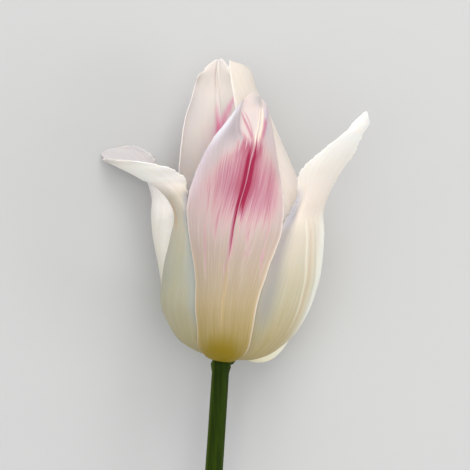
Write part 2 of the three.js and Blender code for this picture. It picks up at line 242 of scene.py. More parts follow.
class Graph:
    """A node tree that is written as expressions."""

    def __init__(self, tree: bpy.types.NodeTree) -> None:
        """Keep the tree."""
        self.tree = tree

    def node(
        self,
        kind: str,
        settings: Mapping[str, object] | None = None,
        inputs: Mapping[str | int, object] | None = None,
        output: str | int = 0,
    ) -> Socket:
        """Add a node.

        Args:
            kind: The node's type.
            settings: Attributes that are set first. The stops of a ramp go under "stops".
            inputs: Values, or sockets to link, by the name or number of the input.
            output: Name or number of the output to give back.

        Returns:
            The node's chosen output.
        """
        made = self.tree.nodes.new(kind)
        for name, value in (settings or {}).items():
            if name == "stops":
                self.set_stops(made.color_ramp, value)
            else:
                setattr(made, name, value)
        self.fill(made, inputs or {})
        return Socket(self, made.outputs[output])

    def fill(self, node: bpy.types.Node, inputs: Mapping[str | int, object]) -> None:
        """Set or link inputs of a node.

        Args:
            node: The node.
            inputs: Values, or sockets to link, by the name or number of the input.
        """
        for key, value in inputs.items():
            if isinstance(value, Socket):
                self.tree.links.new(value.link, node.inputs[key])
            else:
                node.inputs[key].default_value = value

    @staticmethod
    def set_stops(ramp: bpy.types.ColorRamp, stops: Sequence[tuple[float, Colour]]) -> None:
        """Give a colour ramp its stops.

        Args:
            ramp: The ramp, with two elements or more.
            stops: Pairs of a position and a colour.
        """
        while len(ramp.elements) < len(stops):
            ramp.elements.new(0.5)
        for element, (position, colour) in zip(ramp.elements, stops):
            element.position = position
            element.color = colour

    def math(self, operation: str, a: Value, b: Value | None = None) -> Socket:
        """Add a Math node for one or two values."""
        inputs = {0: a} if b is None else {0: a, 1: b}
        return self.node("ShaderNodeMath", {"operation": operation}, inputs)

    def ease(self, x: Value, low: float, high: float) -> Socket:
        """Ease from 0 where x is low to 1 where it is high."""
        settings = {"interpolation_type": "SMOOTHSTEP", "clamp": True}
        return self.node("ShaderNodeMapRange", settings, {0: x, 1: low, 2: high, 3: 0.0, 4: 1.0})

    def bell(self, x: Value, centre: Value, width: Value) -> Socket:
        """Bell curve of height 1 round a centre."""
        away = (x - centre) / width
        return self.math("EXPONENT", (away * away) * -1.0)

    def noise(self, vector: Socket, scale: float, detail: float, roughness: float = 0.5) -> Socket:
        """Read a noise between 0 and 1 at a vector."""
        inputs = {"Vector": vector, "Scale": scale, "Detail": detail, "Roughness": roughness}
        return self.node("ShaderNodeTexNoise", {"noise_dimensions": "3D"}, inputs)

    def vector(self, x: Value, y: Value, z: Value = 0.0) -> Socket:
        """Join three values to a vector."""
        return self.node("ShaderNodeCombineXYZ", None, {0: x, 1: y, 2: z})

    def split(self, vector: Socket) -> tuple[Socket, Socket, Socket]:
        """Part a vector into its three values."""
        made = self.node("ShaderNodeSeparateXYZ", None, {0: vector}).link.node
        return tuple(Socket(self, made.outputs[k]) for k in range(3))

    def tint(self, factor: Value, under: object, over: object) -> Socket:
        """Lay one colour over another by a factor."""
        settings = {"data_type": "RGBA", "clamp_factor": True}
        return self.node("ShaderNodeMix", settings, {0: factor, 6: under, 7: over}, 2)

    def bump(self, strength: float, distance: float, height: Socket) -> Socket:
        """Turn a height into a bent normal."""
        inputs = {"Strength": strength, "Distance": distance, "Height": height}
        return self.node("ShaderNodeBump", None, inputs)

    def object_place(self) -> Socket:
        """Read the place on the object."""
        return self.node("ShaderNodeTexCoord", None, None, "Object")

    def vector_math(self, operation: str, a: Value, b: object) -> Socket:
        """Add a Vector Math node for two vectors."""
        return self.node("ShaderNodeVectorMath", {"operation": operation}, {0: a, 1: b})

    def scaled(self, vector: Socket, scale: Value) -> Socket:
        """Multiply a vector by a number."""
        inputs = {0: vector, "Scale": scale}
        return self.node("ShaderNodeVectorMath", {"operation": "SCALE"}, inputs)


def paint(red: int, green: int, blue: int) -> Colour:
    """Turn a colour as seen, 0 to 255, into linear light."""
    seen = (red / 255, green / 255, blue / 255)
    linear = [((c + 0.055) / 1.055) ** 2.4 if c > 0.0405 else c / 12.92 for c in seen]
    return (*linear, 1.0)


def stops(*rows: tuple[float, int, int, int]) -> Stops:
    """List the stops of a ramp from rows of a position and a colour as seen."""
    return tuple((position, paint(*seen)) for position, *seen in rows)


class Finish:
    """Something that can make a material."""

    def material(self) -> bpy.types.Material:
        """Make the material."""
        raise NotImplementedError

    @staticmethod
    def blank(name: str) -> tuple[bpy.types.Material, Graph, bpy.types.Node]:
        """Make an empty material.

        Args:
            name: The material's name.

        Returns:
            The material, its graph and its shader node.
        """
        material = bpy.data.materials.new(name)
        material.use_nodes = True
        shader = next(n for n in material.node_tree.nodes if n.type == "BSDF_PRINCIPLED")
        return material, Graph(material.node_tree), shader


@dataclass(frozen=True)
class Streak:
    """A band that runs along a tepal, through three points of [across, along]."""

    start: tuple[float, float]
    middle: tuple[float, float]
    end: tuple[float, float]
    half_width: float
    strength: float
    fade: float = 0.05
    flare: float = 0.0
    colour: Colour = (1.0, 1.0, 1.0, 1.0)

    def mask(self, graph: Graph, across: Socket, along: Socket) -> Socket:
        """Give the band's strength over the tepal.

        Args:
            graph: Graph of the material.
            across: From -1 to 1 over the tepal.
            along: From 0 at its foot to 1 at its tip.

        Returns:
            A factor from 0 to the band's strength.
        """
        knots = np.array([self.start, self.middle, self.end])
        square, slope, level = (float(c) for c in np.polyfit(knots[:, 1], knots[:, 0], 2))
        centre = along * along * square + along * slope + level
        low, high = sorted((self.start[1], self.end[1]))
        width: Value = self.half_width
        if self.flare:
            width = (along - low) * (self.flare / (high - low)) + self.half_width
        band = graph.bell(across, centre, width)
        band = band * graph.ease(along, low - self.fade, low + self.fade)
        band = band * (1.0 - graph.ease(along, high - self.fade, high + self.fade))
        return band * self.strength


@dataclass(frozen=True)
class Pleat:
    """The valley of a pinched tip, which opens upwards between two curved folds, with painted shade left
    of it and painted light on its floor.
    """

    foot: float = 0.755
    left: float = 1.7
    right: tuple[float, float] = (1.0, 12.0)
    depth: float = 1.5
    # Painted shade for the fold left of the valley, and painted light for the valley's floor
    flap_shade: Colour = paint(166, 154, 158)
    floor: Colour = paint(214, 200, 195)

    def relief(self, u: Array, v: Array) -> Array:
        """Sink the valley, deepest under its crisp left fold, and raise a crest along each fold.

        Args:
            u: Across.
            v: Along.

        Returns:
            How far the sheet moves out, in millimetres.
        """
        rise = np.maximum(v - self.foot, 0.0)
        left = -self.left * np.sqrt(rise)
        right = rise * self.right[0] + rise**2 * self.right[1]
        share = (u - left) / np.maximum(right - left, 0.1)
        sink = -self.depth * smooth(v, self.foot, 0.83) * (1 - 0.6 * smooth(v, 0.93, 1.0))
        valley = sink * smooth(share, -0.1, 0.16) * (1 - 0.6 * share) * (1 - smooth(share, 0.85, 1.15))
        crests = 0.35 * smooth(v, 0.74, 0.82) * (hump(u, left - 0.08, 0.08) + hump(u, right + 0.1, 0.12))
        ridge = 0.3 * smooth(v, 0.76, 0.82) * hump(share, 0.72, 0.1)
        return valley + crests + ridge

    def dress(self, graph: Graph, colour: Socket, across: Socket, along: Socket) -> Socket:
        """Paint shade on the grey fold left of the valley and paint light on the valley's pale floor, for
        its glow.

        Args:
            graph: Graph of the material.
            colour: Colour so far.
            across: From -1 to 1 over the tepal.
            along: From 0 at its foot to 1 at its tip.

        Returns:
            The colour with the pinched tip.
        """
        rise = graph.math("MAXIMUM", along - self.foot, 0.0)
        inside = across + rise**0.5 * self.left
        before = rise * self.right[0] + rise * rise * self.right[1] - across
        opened = graph.ease(along, self.foot, self.foot + 0.03)
        # Painted shade on the fold left of the valley
        flap_shade = (1.0 - graph.ease(inside, -0.03, 0.02)) * graph.ease(along, 0.765, 0.84)
        flap_shade = flap_shade * graph.ease(inside, -0.75, -0.25) * (1.0 - graph.ease(abs(across), 0.86, 0.97))
        colour = graph.tint(flap_shade * 0.85, colour, self.flap_shade)
        # Painted light on the valley's floor, for its glow
        lit_hollow = graph.ease(inside, -0.02, 0.04) * graph.ease(before, -0.06, 0.06) * opened
        return graph.tint(lit_hollow * 0.85, colour, self.floor)


# A tepal's own map: its outer face fills the left half, its inner face the right
MAP_EDGE = 0.02
MAP_HALF = 0.23
MAP_INNER = 0.5

# The veins run in towards the tip from this way along, by this share
VEINS_MEET = 0.56
VEINS_NARROW = 1.35

# Where each noise of a tepal is read, so that no two are alike
HAIR_SEED = 3.0
CLOUD_SEED = 8.0
STREAK_SEED = 17.0
TORN_SEED = 41.0

VEIN_SHADE: Colour = (0.42, 0.36, 0.26, 1.0)


@dataclass(frozen=True)
class PetalFinish(Finish):
    """The skin of a tepal: pale ground, fine lengthwise veins, its own flames of pigment, and washes, some
    of them painted light and painted shade.
    """

    name: str
    ground: Stops
    margin: Colour = paint(252, 246, 238)
    inner: Colour = paint(250, 243, 236)
    inner_share: float = 0.7
    # Bands over the ground: pigment, and on some tepals painted shade, painted shadow and painted light.
    washes: tuple[Streak, ...] = ()
    flames: tuple[Streak, ...] = ()
    pigment: Stops = stops(
        (0.0, 200, 178, 174), (0.2, 196, 158, 160), (0.4, 182, 130, 142),
        (0.6, 172, 102, 120), (0.8, 164, 76, 98), (1.0, 146, 18, 62),
    )
    ragged: float = 0.2
    spot: Colour = paint(148, 124, 0)
    spot_reach: float = 0.0
    vein_count: float = 46.0
    translucency: float = 0.35
    pleat: Pleat | None = None

    def material(self) -> bpy.types.Material:
        """Make the material, on the tepal's own map.

        Returns:
            The material.
        """
        material, graph, shader = self.blank(self.name)
        place = graph.node("ShaderNodeUVMap", {"uv_map": "petal"})
        flat, along, _ = graph.split(place)
        inside = flat > 0.5
        across = (flat - (inside * MAP_INNER + MAP_EDGE)) * (1 / MAP_HALF) - 1.0
        narrow = graph.math("MAXIMUM", along - VEINS_MEET, 0.0) * VEINS_NARROW
        vein = across * (1.0 - narrow) * self.vein_count
        lines = graph.noise(graph.vector(vein * 0.62, along * 3.4, inside), 1.0, 3.0, 0.6)
        hair = graph.noise(graph.vector(vein * 1.7, along * 7.0, HAIR_SEED), 1.0, 2.0, 0.6)
        drift = graph.vector(across * 2.4, along * 4.0, inside * 5.0 + CLOUD_SEED)
        cloud = graph.noise(drift, 1.0, 3.0)
        way = along + (cloud - 0.5) * 0.06
        colour = graph.node("ShaderNodeValToRGB", {"stops": self.ground}, {0: way})
        deep = graph.tint(graph.ease(1.0 - lines, 0.42, 0.85) * 0.15, colour, VEIN_SHADE)
        colour = graph.tint(inside * self.inner_share, deep, self.inner)
        pale = graph.ease(hair, 0.42, 0.75) * 0.1 + graph.ease(lines, 0.45, 0.8) * 0.14
        colour = graph.tint(pale, colour, self.margin)
        # Lighter towards the rim: partly the thin margin's own paler tint, partly painted light for its
        # backlit glow.
        rim = graph.ease(abs(across) + (cloud - 0.5) * 0.08, 0.92, 1.02)
        colour = graph.tint(rim * 0.55, colour, self.margin)
        if self.pleat:
            colour = self.pleat.dress(graph, colour, across, along)
        for wash in self.washes:
            colour = graph.tint(wash.mask(graph, across, along), colour, wash.colour)
        if self.flames:
            colour = self.flamed(graph, colour, across, along, vein, (hair - 0.5) * 2.2)
        if self.spot_reach:
            colour = self.spotted(graph, colour, across, along, cloud)
        graph.fill(shader, {
            "Base Color": colour, "Roughness": 0.5 + (cloud - 0.5) * 0.14 + (hair - 0.5) * 0.12,
            "IOR": 1.38, "Specular IOR Level": 0.28, "Subsurface Weight": self.translucency,
            "Subsurface Radius": (1.0, 0.78, 0.55), "Subsurface Scale": 0.8 * MM,
            "Normal": graph.bump(0.5, 0.25 * MM, lines * 0.7 + hair * 0.3),
        })
        return material

    def flamed(
        self, graph: Graph, colour: Socket, across: Socket, along: Socket, vein: Socket, grain: Socket
    ) -> Socket:
        """Lay the flames over a colour: their sum is the density of the pigment.

        Args:
            graph: Graph of the material.
            colour: Colour so far.
            across: From -1 to 1 over the tepal.
            along: From 0 at its foot to 1 at its tip.
            vein: Number of the vein, counted from the midrib.
            grain: Fine noise drawn out along the tepal, round 0.

        Returns:
            The colour with the flames, which end raggedly and run in streaks.
        """
        ends = graph.noise(graph.vector(vein * 0.6, along * 1.5, TORN_SEED), 1.0, 2.0, 0.7)
        torn = along + (ends - 0.5) * self.ragged
        pigment: Value = 0.0
        for flame in self.flames:
            pigment = flame.mask(graph, across, torn) + pigment
        streaks = graph.noise(graph.vector(vein * 0.9, along * 4.0, STREAK_SEED), 1.0, 2.0, 0.6)
        spread = graph.ease(pigment, 0.02, 0.3) * 0.24
        density = pigment + ((streaks - 0.5) * 2.6 + grain) * spread
        ramp = graph.node("ShaderNodeValToRGB", {"stops": self.pigment}, {0: density})
        return graph.tint(graph.ease(density, 0.0, 0.24), colour, ramp)

    def spotted(
        self, graph: Graph, colour: Socket, across: Socket, along: Socket, cloud: Socket
    ) -> Socket:
        """Lay the spot at the tepal's foot over a colour.

        Args:
            graph: Graph of the material.
            colour: Colour so far.
            across: From -1 to 1 over the tepal.
            along: From 0 at its foot to 1 at its tip.
            cloud: Slow noise from 0 to 1.

        Returns:
            The colour with the spot.
        """
        edge = along + across * across * self.spot_reach * 0.5 + (cloud - 0.5) * 0.03
        spot = 1.0 - graph.ease(edge, self.spot_reach * 0.5, self.spot_reach)
        return graph.tint(spot * 0.97, colour, self.spot)


# Course of the stalk from the bloom to its cut end
STALK_LENGTH = 134.0
STALK_LEAN = -8.5
STALK_CURVE = -1.5


@dataclass(frozen=True)
class StalkFinish(Finish):
    """Smooth green stalk with a faint waxy bloom, fine lengthwise lines and painted light along its sides.
    """

    name: str = "stalk_green"
    deep: Colour = paint(28, 44, 0)
    light: Colour = paint(54, 74, 4)
    # Colour of the painted light along the stalk's sides
    rim: Colour = paint(74, 92, 14)
    cut: Colour = paint(176, 190, 120)
    cut_at: float = -109.9
    top_x: float = -3.17
    top_y: float = 24.3

    def material(self) -> bpy.types.Material:
        """Make the material, on object coordinates with the flower lying along Y.

        Returns:
            The material.
        """
        material, graph, shader = self.blank(self.name)
        x, y, z = graph.split(graph.object_place())
        lines = graph.noise(graph.vector(x * 900.0, y * 22.0, z * 900.0), 1.0, 2.0)
        cloud = graph.noise(graph.vector(x * 60.0, y * 30.0, z * 60.0), 1.0, 3.0)
        share = graph.ease(lines, 0.4, 0.7) * 0.4 + graph.ease(cloud, 0.35, 0.7) * 0.45
        colour = graph.tint(share, self.deep, self.light)
        way = (y - self.top_y * MM) * (-1.0 / (STALK_LENGTH * MM))
        centre = (way * way * STALK_CURVE + way * STALK_LEAN) * MM + self.top_x * MM
        aside = (x - centre) * (1.0 / MM)
        # Painted light along the sides, stronger on the left
        lit_sides = graph.ease(aside * -1.0, 1.5, 2.4) * 0.5 + graph.ease(aside, 1.6, 2.5) * 0.2
        colour = graph.tint(lit_sides, colour, self.rim)
        cut = graph.ease(y, (self.cut_at + 0.4) * MM, (self.cut_at - 0.2) * MM)
        graph.fill(shader, {
            "Base Color": graph.tint(cut, colour, self.cut), "Roughness": 0.5 + (cloud - 0.5) * 0.2,
            "Specular IOR Level": 0.06, "Subsurface Weight": 0.15, "Subsurface Radius": (0.6, 1.0, 0.3),
            "Subsurface Scale": 1.0 * MM, "Normal": graph.bump(0.3, 0.2 * MM, lines),
        })
        return material


@dataclass(frozen=True)
class SpeckFinish(Finish):
    """Matt plant tissue with a fine grain in two colours."""

    name: str
    base: Colour
    speck: Colour
    roughness: float = 0.7
    grain: float = 1800.0

    def material(self) -> bpy.types.Material:
        """Make the material, on object coordinates.

        Returns:
            The material.
        """
        material, graph, shader = self.blank(self.name)
        place = graph.object_place()
        fine = graph.noise(place, self.grain, 3.0, 0.6)
        broad = graph.noise(place, self.grain * 0.12, 2.0)
        share = graph.ease(fine, 0.42, 0.68) * 0.6 + graph.ease(broad, 0.4, 0.7) * 0.3
        graph.fill(shader, {
            "Base Color": graph.tint(share, self.base, self.speck),
            "Roughness": self.roughness + (fine - 0.5) * 0.2, "Subsurface Weight": 0.12,
            "Subsurface Scale": 1.0 * MM, "Normal": graph.bump(0.4, 0.2 * MM, fine),
        })
        return material


@dataclass(frozen=True)
class FloorFinish(Finish):
    """Plain pale matt floor."""

    name: str = "floor_pale"
    tone: Colour = (0.52, 0.52, 0.51, 1.0)
    shade: Colour = (0.46, 0.46, 0.45, 1.0)

    def material(self) -> bpy.types.Material:
        """Make the material, with a faint grain on object coordinates.

        Returns:
            The material.
        """
        material, graph, shader = self.blank(self.name)
        grain = graph.noise(graph.object_place(), 140.0, 3.0, 0.6)
        colour = graph.tint(grain * 0.12, self.tone, self.shade)
        graph.fill(shader, {"Base Color": colour, "Roughness": 0.85})
        return material


# Meshes


def new_object(
    name: str, points: Array, faces: Array | Sequence, uv: Array | None = None
) -> bpy.types.Object:
    """Make a smooth mesh object in the scene.

    Args:
        name: Name of the object.
        points: Corner points in millimetres.
        faces: Corner numbers of each face.
        uv: Map position of each corner of each face, for a map named petal.

    Returns:
        The object, at the origin.
    """
    mesh = bpy.data.meshes.new(name)
    mesh.from_pydata((points * MM).tolist(), [], faces.tolist() if isinstance(faces, Array) else faces)
    mesh.polygons.foreach_set("use_smooth", np.ones(len(mesh.polygons), bool))
    if uv is not None:
        layer = mesh.uv_layers.new(name="petal")
        layer.data.foreach_set("uv", uv.reshape(-1).astype(np.float32))
    mesh.update()
    made = bpy.data.objects.new(name, mesh)
    bpy.context.collection.objects.link(made)
    return made


def attach(mesh: bpy.types.Mesh, name: str, values: Array) -> None:
    """Give a mesh an attribute at its points.

    Args:
        mesh: The mesh.
        name: Name of the attribute.
        values: A number or a vector for each point.
    """
    kind, key = ("FLOAT_VECTOR", "vector") if values.ndim > 1 else ("FLOAT", "value")
    layer = mesh.attributes.new(name, kind, "POINT")
    layer.data.foreach_set(key, values.reshape(-1).astype(np.float32))


def baked(maker: bpy.types.Object, tree: bpy.types.NodeTree, values: Mapping[str, object]) -> None:
    """Run a geometry tree on an object and keep the result as a plain mesh.

    Args:
        maker: Object whose mesh goes in. Its mesh is replaced.
        tree: The geometry tree.
        values: Inputs of the tree by name.
    """
    modifier = maker.modifiers.new(tree.name, "NODES")
    modifier.node_group = tree
    for item in tree.interface.items_tree:
        if item.item_type == "SOCKET" and item.in_out == "INPUT" and item.name in values:
            modifier[item.identifier] = values[item.name]
    graph = bpy.context.evaluated_depsgraph_get()
    finished = maker.evaluated_get(graph)
    made = bpy.data.meshes.new_from_object(finished, preserve_all_data_layers=True, depsgraph=graph)
    maker.modifiers.remove(modifier)
    old = maker.data
    maker.data = made
    bpy.data.meshes.remove(old)
    made.name = maker.name


class GeometryTree:
    """Base of the geometry trees: named inputs, and an end that realizes and dresses."""

    def __init__(self, name: str, inputs: Sequence[tuple[str, str]]) -> None:
        """Make an empty tree.

        Args:
            name: Name of the tree.
            inputs: Name and kind of each input between the geometry and the material.
        """
        self.tree = bpy.data.node_groups.new(name, "GeometryNodeTree")
        self.graph = Graph(self.tree)
        for label, kind in (("Geometry", "Geometry"), *inputs, ("Material", "Material")):
            self.tree.interface.new_socket(label, in_out="INPUT", socket_type="NodeSocket" + kind)
        self.tree.interface.new_socket("Geometry", in_out="OUTPUT", socket_type="NodeSocketGeometry")
        self.entry = self.tree.nodes.new("NodeGroupInput")

    def given(self, name: str) -> Socket:
        """Read an input of the tree."""
        return Socket(self.graph, self.entry.outputs[name])

    def attribute(self, name: str, kind: str = "FLOAT") -> Socket:
        """Read a named attribute of the mesh."""
        return self.graph.node("GeometryNodeInputNamedAttribute", {"data_type": kind}, {"Name": name})

    def above_floor(self, geometry: Socket) -> Socket:
        """Press what reaches below the floor flat on it.

        Args:
            geometry: The geometry.

        Returns:
            The geometry, all of it just above the floor.
        """
        graph = self.graph
        x, y, z = graph.split(graph.node("GeometryNodeInputPosition"))
        lifted = graph.vector(x, y, graph.math("MAXIMUM", z, SKIN_GAP * MM))
        return graph.node("GeometryNodeSetPosition", None, {"Geometry": geometry, "Position": lifted})

    def close(self, geometry: Socket) -> None:
        """Realize the instances, set the material and leave the tree.

        Args:
            geometry: What the tree has made.
        """
        graph = self.graph
        real = graph.node("GeometryNodeRealizeInstances", None, {"Geometry": geometry})
        inputs = {"Geometry": real, "Material": self.given("Material")}
        dressed = graph.node("GeometryNodeSetMaterial", None, inputs)
        leave = self.tree.nodes.new("NodeGroupOutput")
        self.tree.links.new(dressed.link, leave.inputs["Geometry"])


class SkinTree(GeometryTree):
    """Raises fine ribs and slow ripples along a tepal, both faces moving together."""

    RIPPLE_SEED = 20.0

    def __init__(self) -> None:
        """Build the tree."""
        super().__init__("tepal_ribs", (
            ("Rib Count", "Float"), ("Rib Height", "Float"), ("Ripple Height", "Float"), ("Seed", "Float"),
        ))
        graph = self.graph
        across = self.attribute("across")
        along = self.attribute("along")
        away = self.attribute("away", "FLOAT_VECTOR")
        count = self.given("Rib Count")
        seed = self.given("Seed")
        ribs = graph.noise(graph.vector(across * count, along * 2.5, seed), 1.0, 1.0) - 0.5
        slow = graph.vector(across * 1.6, along * 5.0, seed + self.RIPPLE_SEED)
        ripples = graph.noise(slow, 1.0, 1.0) - 0.5
        shift = ribs * self.given("Rib Height") + ripples * self.given("Ripple Height")
        inputs = {"Geometry": self.given("Geometry"), "Offset": graph.scaled(away, shift)}
        moved = graph.node("GeometryNodeSetPosition", None, inputs)
        self.close(self.above_floor(moved))


class StalkTree(GeometryTree):
    """Sweeps a round section along a line of points with a radius of its own at each."""

    def __init__(self) -> None:
        """Build the tree."""
        super().__init__("stalk_sweep", (("Sides", "Int"), ("Line Height", "Float"), ("Seed", "Float")))
        graph = self.graph
        line = graph.node("GeometryNodeMeshToCurve", None, {0: self.given("Geometry")})
        inputs = {"Resolution": self.given("Sides"), "Radius": 1.0}
        ring = graph.node("GeometryNodeCurvePrimitiveCircle", None, inputs)
        radius = self.attribute("radius")
        inputs = {"Curve": line, "Profile Curve": ring, "Scale": radius, "Fill Caps": True}
        tube = graph.node("GeometryNodeCurveToMesh", None, inputs)
        place = graph.node("GeometryNodeInputPosition")
        stretched = graph.vector_math("MULTIPLY", place, (620.0, 18.0, 620.0))
        seeded = graph.vector_math("ADD", stretched, graph.vector(0.0, self.given("Seed")))
        lines = graph.noise(seeded, 1.0, 1.0) - 0.5
        normal = graph.node("GeometryNodeInputNormal")
        inputs = {"Geometry": tube, "Offset": graph.scaled(normal, lines * self.given("Line Height"))}
        moved = graph.node("GeometryNodeSetPosition", None, inputs)
        inputs = {"Geometry": moved, "Shade Smooth": True}
        shaded = graph.node("GeometryNodeSetShadeSmooth", None, inputs)
        self.close(self.above_floor(shaded))


class GrainTree(GeometryTree):
    """Sows small round grains over a surface and keeps the surface under them."""

    SMALLEST = 0.6
    LARGEST = 1.25

    def __init__(self) -> None:
        """Build the tree."""
        super().__init__("sown_grains", (("Density", "Float"), ("Grain Radius", "Float"), ("Seed", "Int")))
        graph = self.graph
        ground = self.given("Geometry")
        seed = self.given("Seed")
        inputs = {"Mesh": ground, "Density": self.given("Density"), "Seed": seed}
        sown = graph.node("GeometryNodeDistributePointsOnFaces", None, inputs)
        inputs = {"Radius": self.given("Grain Radius"), "Subdivisions": 1}
        grain = graph.node("GeometryNodeMeshIcoSphere", None, inputs)
        inputs = {2: self.SMALLEST, 3: self.LARGEST, "Seed": seed}
        size = graph.node("FunctionNodeRandomValue", {"data_type": "FLOAT"}, inputs, 1)
        inputs = {"Points": sown, "Instance": grain, "Scale": size}
        grains = graph.node("GeometryNodeInstanceOnPoints", None, inputs)
        joined = self.tree.nodes.new("GeometryNodeJoinGeometry")
        self.tree.links.new(grains.link, joined.inputs[0])
        self.tree.links.new(ground.link, joined.inputs[0])
        self.close(Socket(graph, joined.outputs[0]))


# Bloom


Rails = tuple[tuple[tuple[float, float, float], ...], ...]
Relief = Callable[[Array, Array], Array]


class Layer(Enum):
    """How deep a tepal lies among its neighbours."""

    OVER = 0
    BESIDE = 1
    UNDER = 2
    INNERMOST = 3


PLEAT = Pleat()


def pinched_tip(u: Array, v: Array) -> Array:
    """Give the front tepal its pleat near the tip, and below it a midrib with a furrow beside it."""
    there = 0.25 * smooth(v, 0.2, 0.4) * (1 - smooth(v, 0.68, 0.76))
    return PLEAT.relief(u, v) + there * (hump(u, 0.0, 0.05) - hump(u, -0.09, 0.06))


def waved_edges(u: Array, v: Array) -> Array:
    """Run slow waves and finer ones along the edges of a tepal that reaches out."""
    slow = 0.5 * smooth(v, 0.55, 0.75) * u**4 * np.sin(34 * v + 2 * u)
    fine = 0.22 * smooth(v, 0.6, 0.8) * u**8 * np.sin(115 * v + 9 * np.sin(17 * v))
    return slow + fine


def full_flank(u: Array, v: Array) -> Array:
    """Give the back left tepal a full flank, besides its waved edges."""
    return waved_edges(u, v) + 2.1 * hump(u, 0.6, 0.3) * hump(v, 0.43, 0.13)


def flank_fold(u: Array, v: Array) -> Array:
    """Give the right tepal two lengthwise folds on its flank, besides its waved edges.

    Args:
        u: Across.
        v: Along.

    Returns:
        How far the sheet moves out, in millimetres.
    """
    there = smooth(v, 0.12, 0.24) * (1 - smooth(v, 0.38, 0.48))
    line = 0.36 - 1.9 * (v - 0.228)
    folds = 0.22 * hump(u, line, 0.05) - 0.2 * hump(u, line + 0.1, 0.05) + 0.12 * hump(u, line + 0.2, 0.06)
    early_bend = 0.5 * hump(v, 0.44, 0.07)
    pleat = 0.55 * hump(v, 0.5, 0.06) * (hump(u, -0.86, 0.1) - 0.8 * hump(u, -0.62, 0.1))
    return waved_edges(u, v) + there * folds + early_bend + pleat


def creased_back(u: Array, v: Array) -> Array:
    """Give the back tepal the crease of its midrib and a slow wave at its top."""
    crease = 0.5 * smooth(v, 0.45, 0.8) * (hump(u, 0.03, 0.05) - 0.8 * hump(u, -0.06, 0.06))
    return crease + 0.3 * smooth(v, 0.7, 1.0) * u**6 * np.sin(60 * v)


def drawn_in_tip(u: Array, v: Array) -> Array:
    """Draw the back right tepal in above its shoulder, and give it a faint midrib."""
    shoulder = -0.6 * hump(v, 0.85, 0.06)
    return shoulder * hump(u, 0.0, 0.5) + 0.12 * hump(u, 0.0, 0.05) * smooth(v, 0.1, 0.4)


def two_faces(outer: Array, inner: Array) -> Array:
    """List values for the points of the outer face, then for those that only the inner face has.

    Args:
        outer: Values over the grid, for the outer face.
        inner: The same for the inner face.

    Returns:
        One row of values for each point of the mesh.
    """
    size = outer.shape[2:]
    return np.concatenate([outer.reshape(-1, *size), inner[1:-1, 1:-1].reshape(-1, *size)])


@dataclass(frozen=True)
class Bulge:
    """A place where a tepal's edge swells out of its plain outline, or draws in."""

    side: int
    along: float
    reach: float
    amount: float


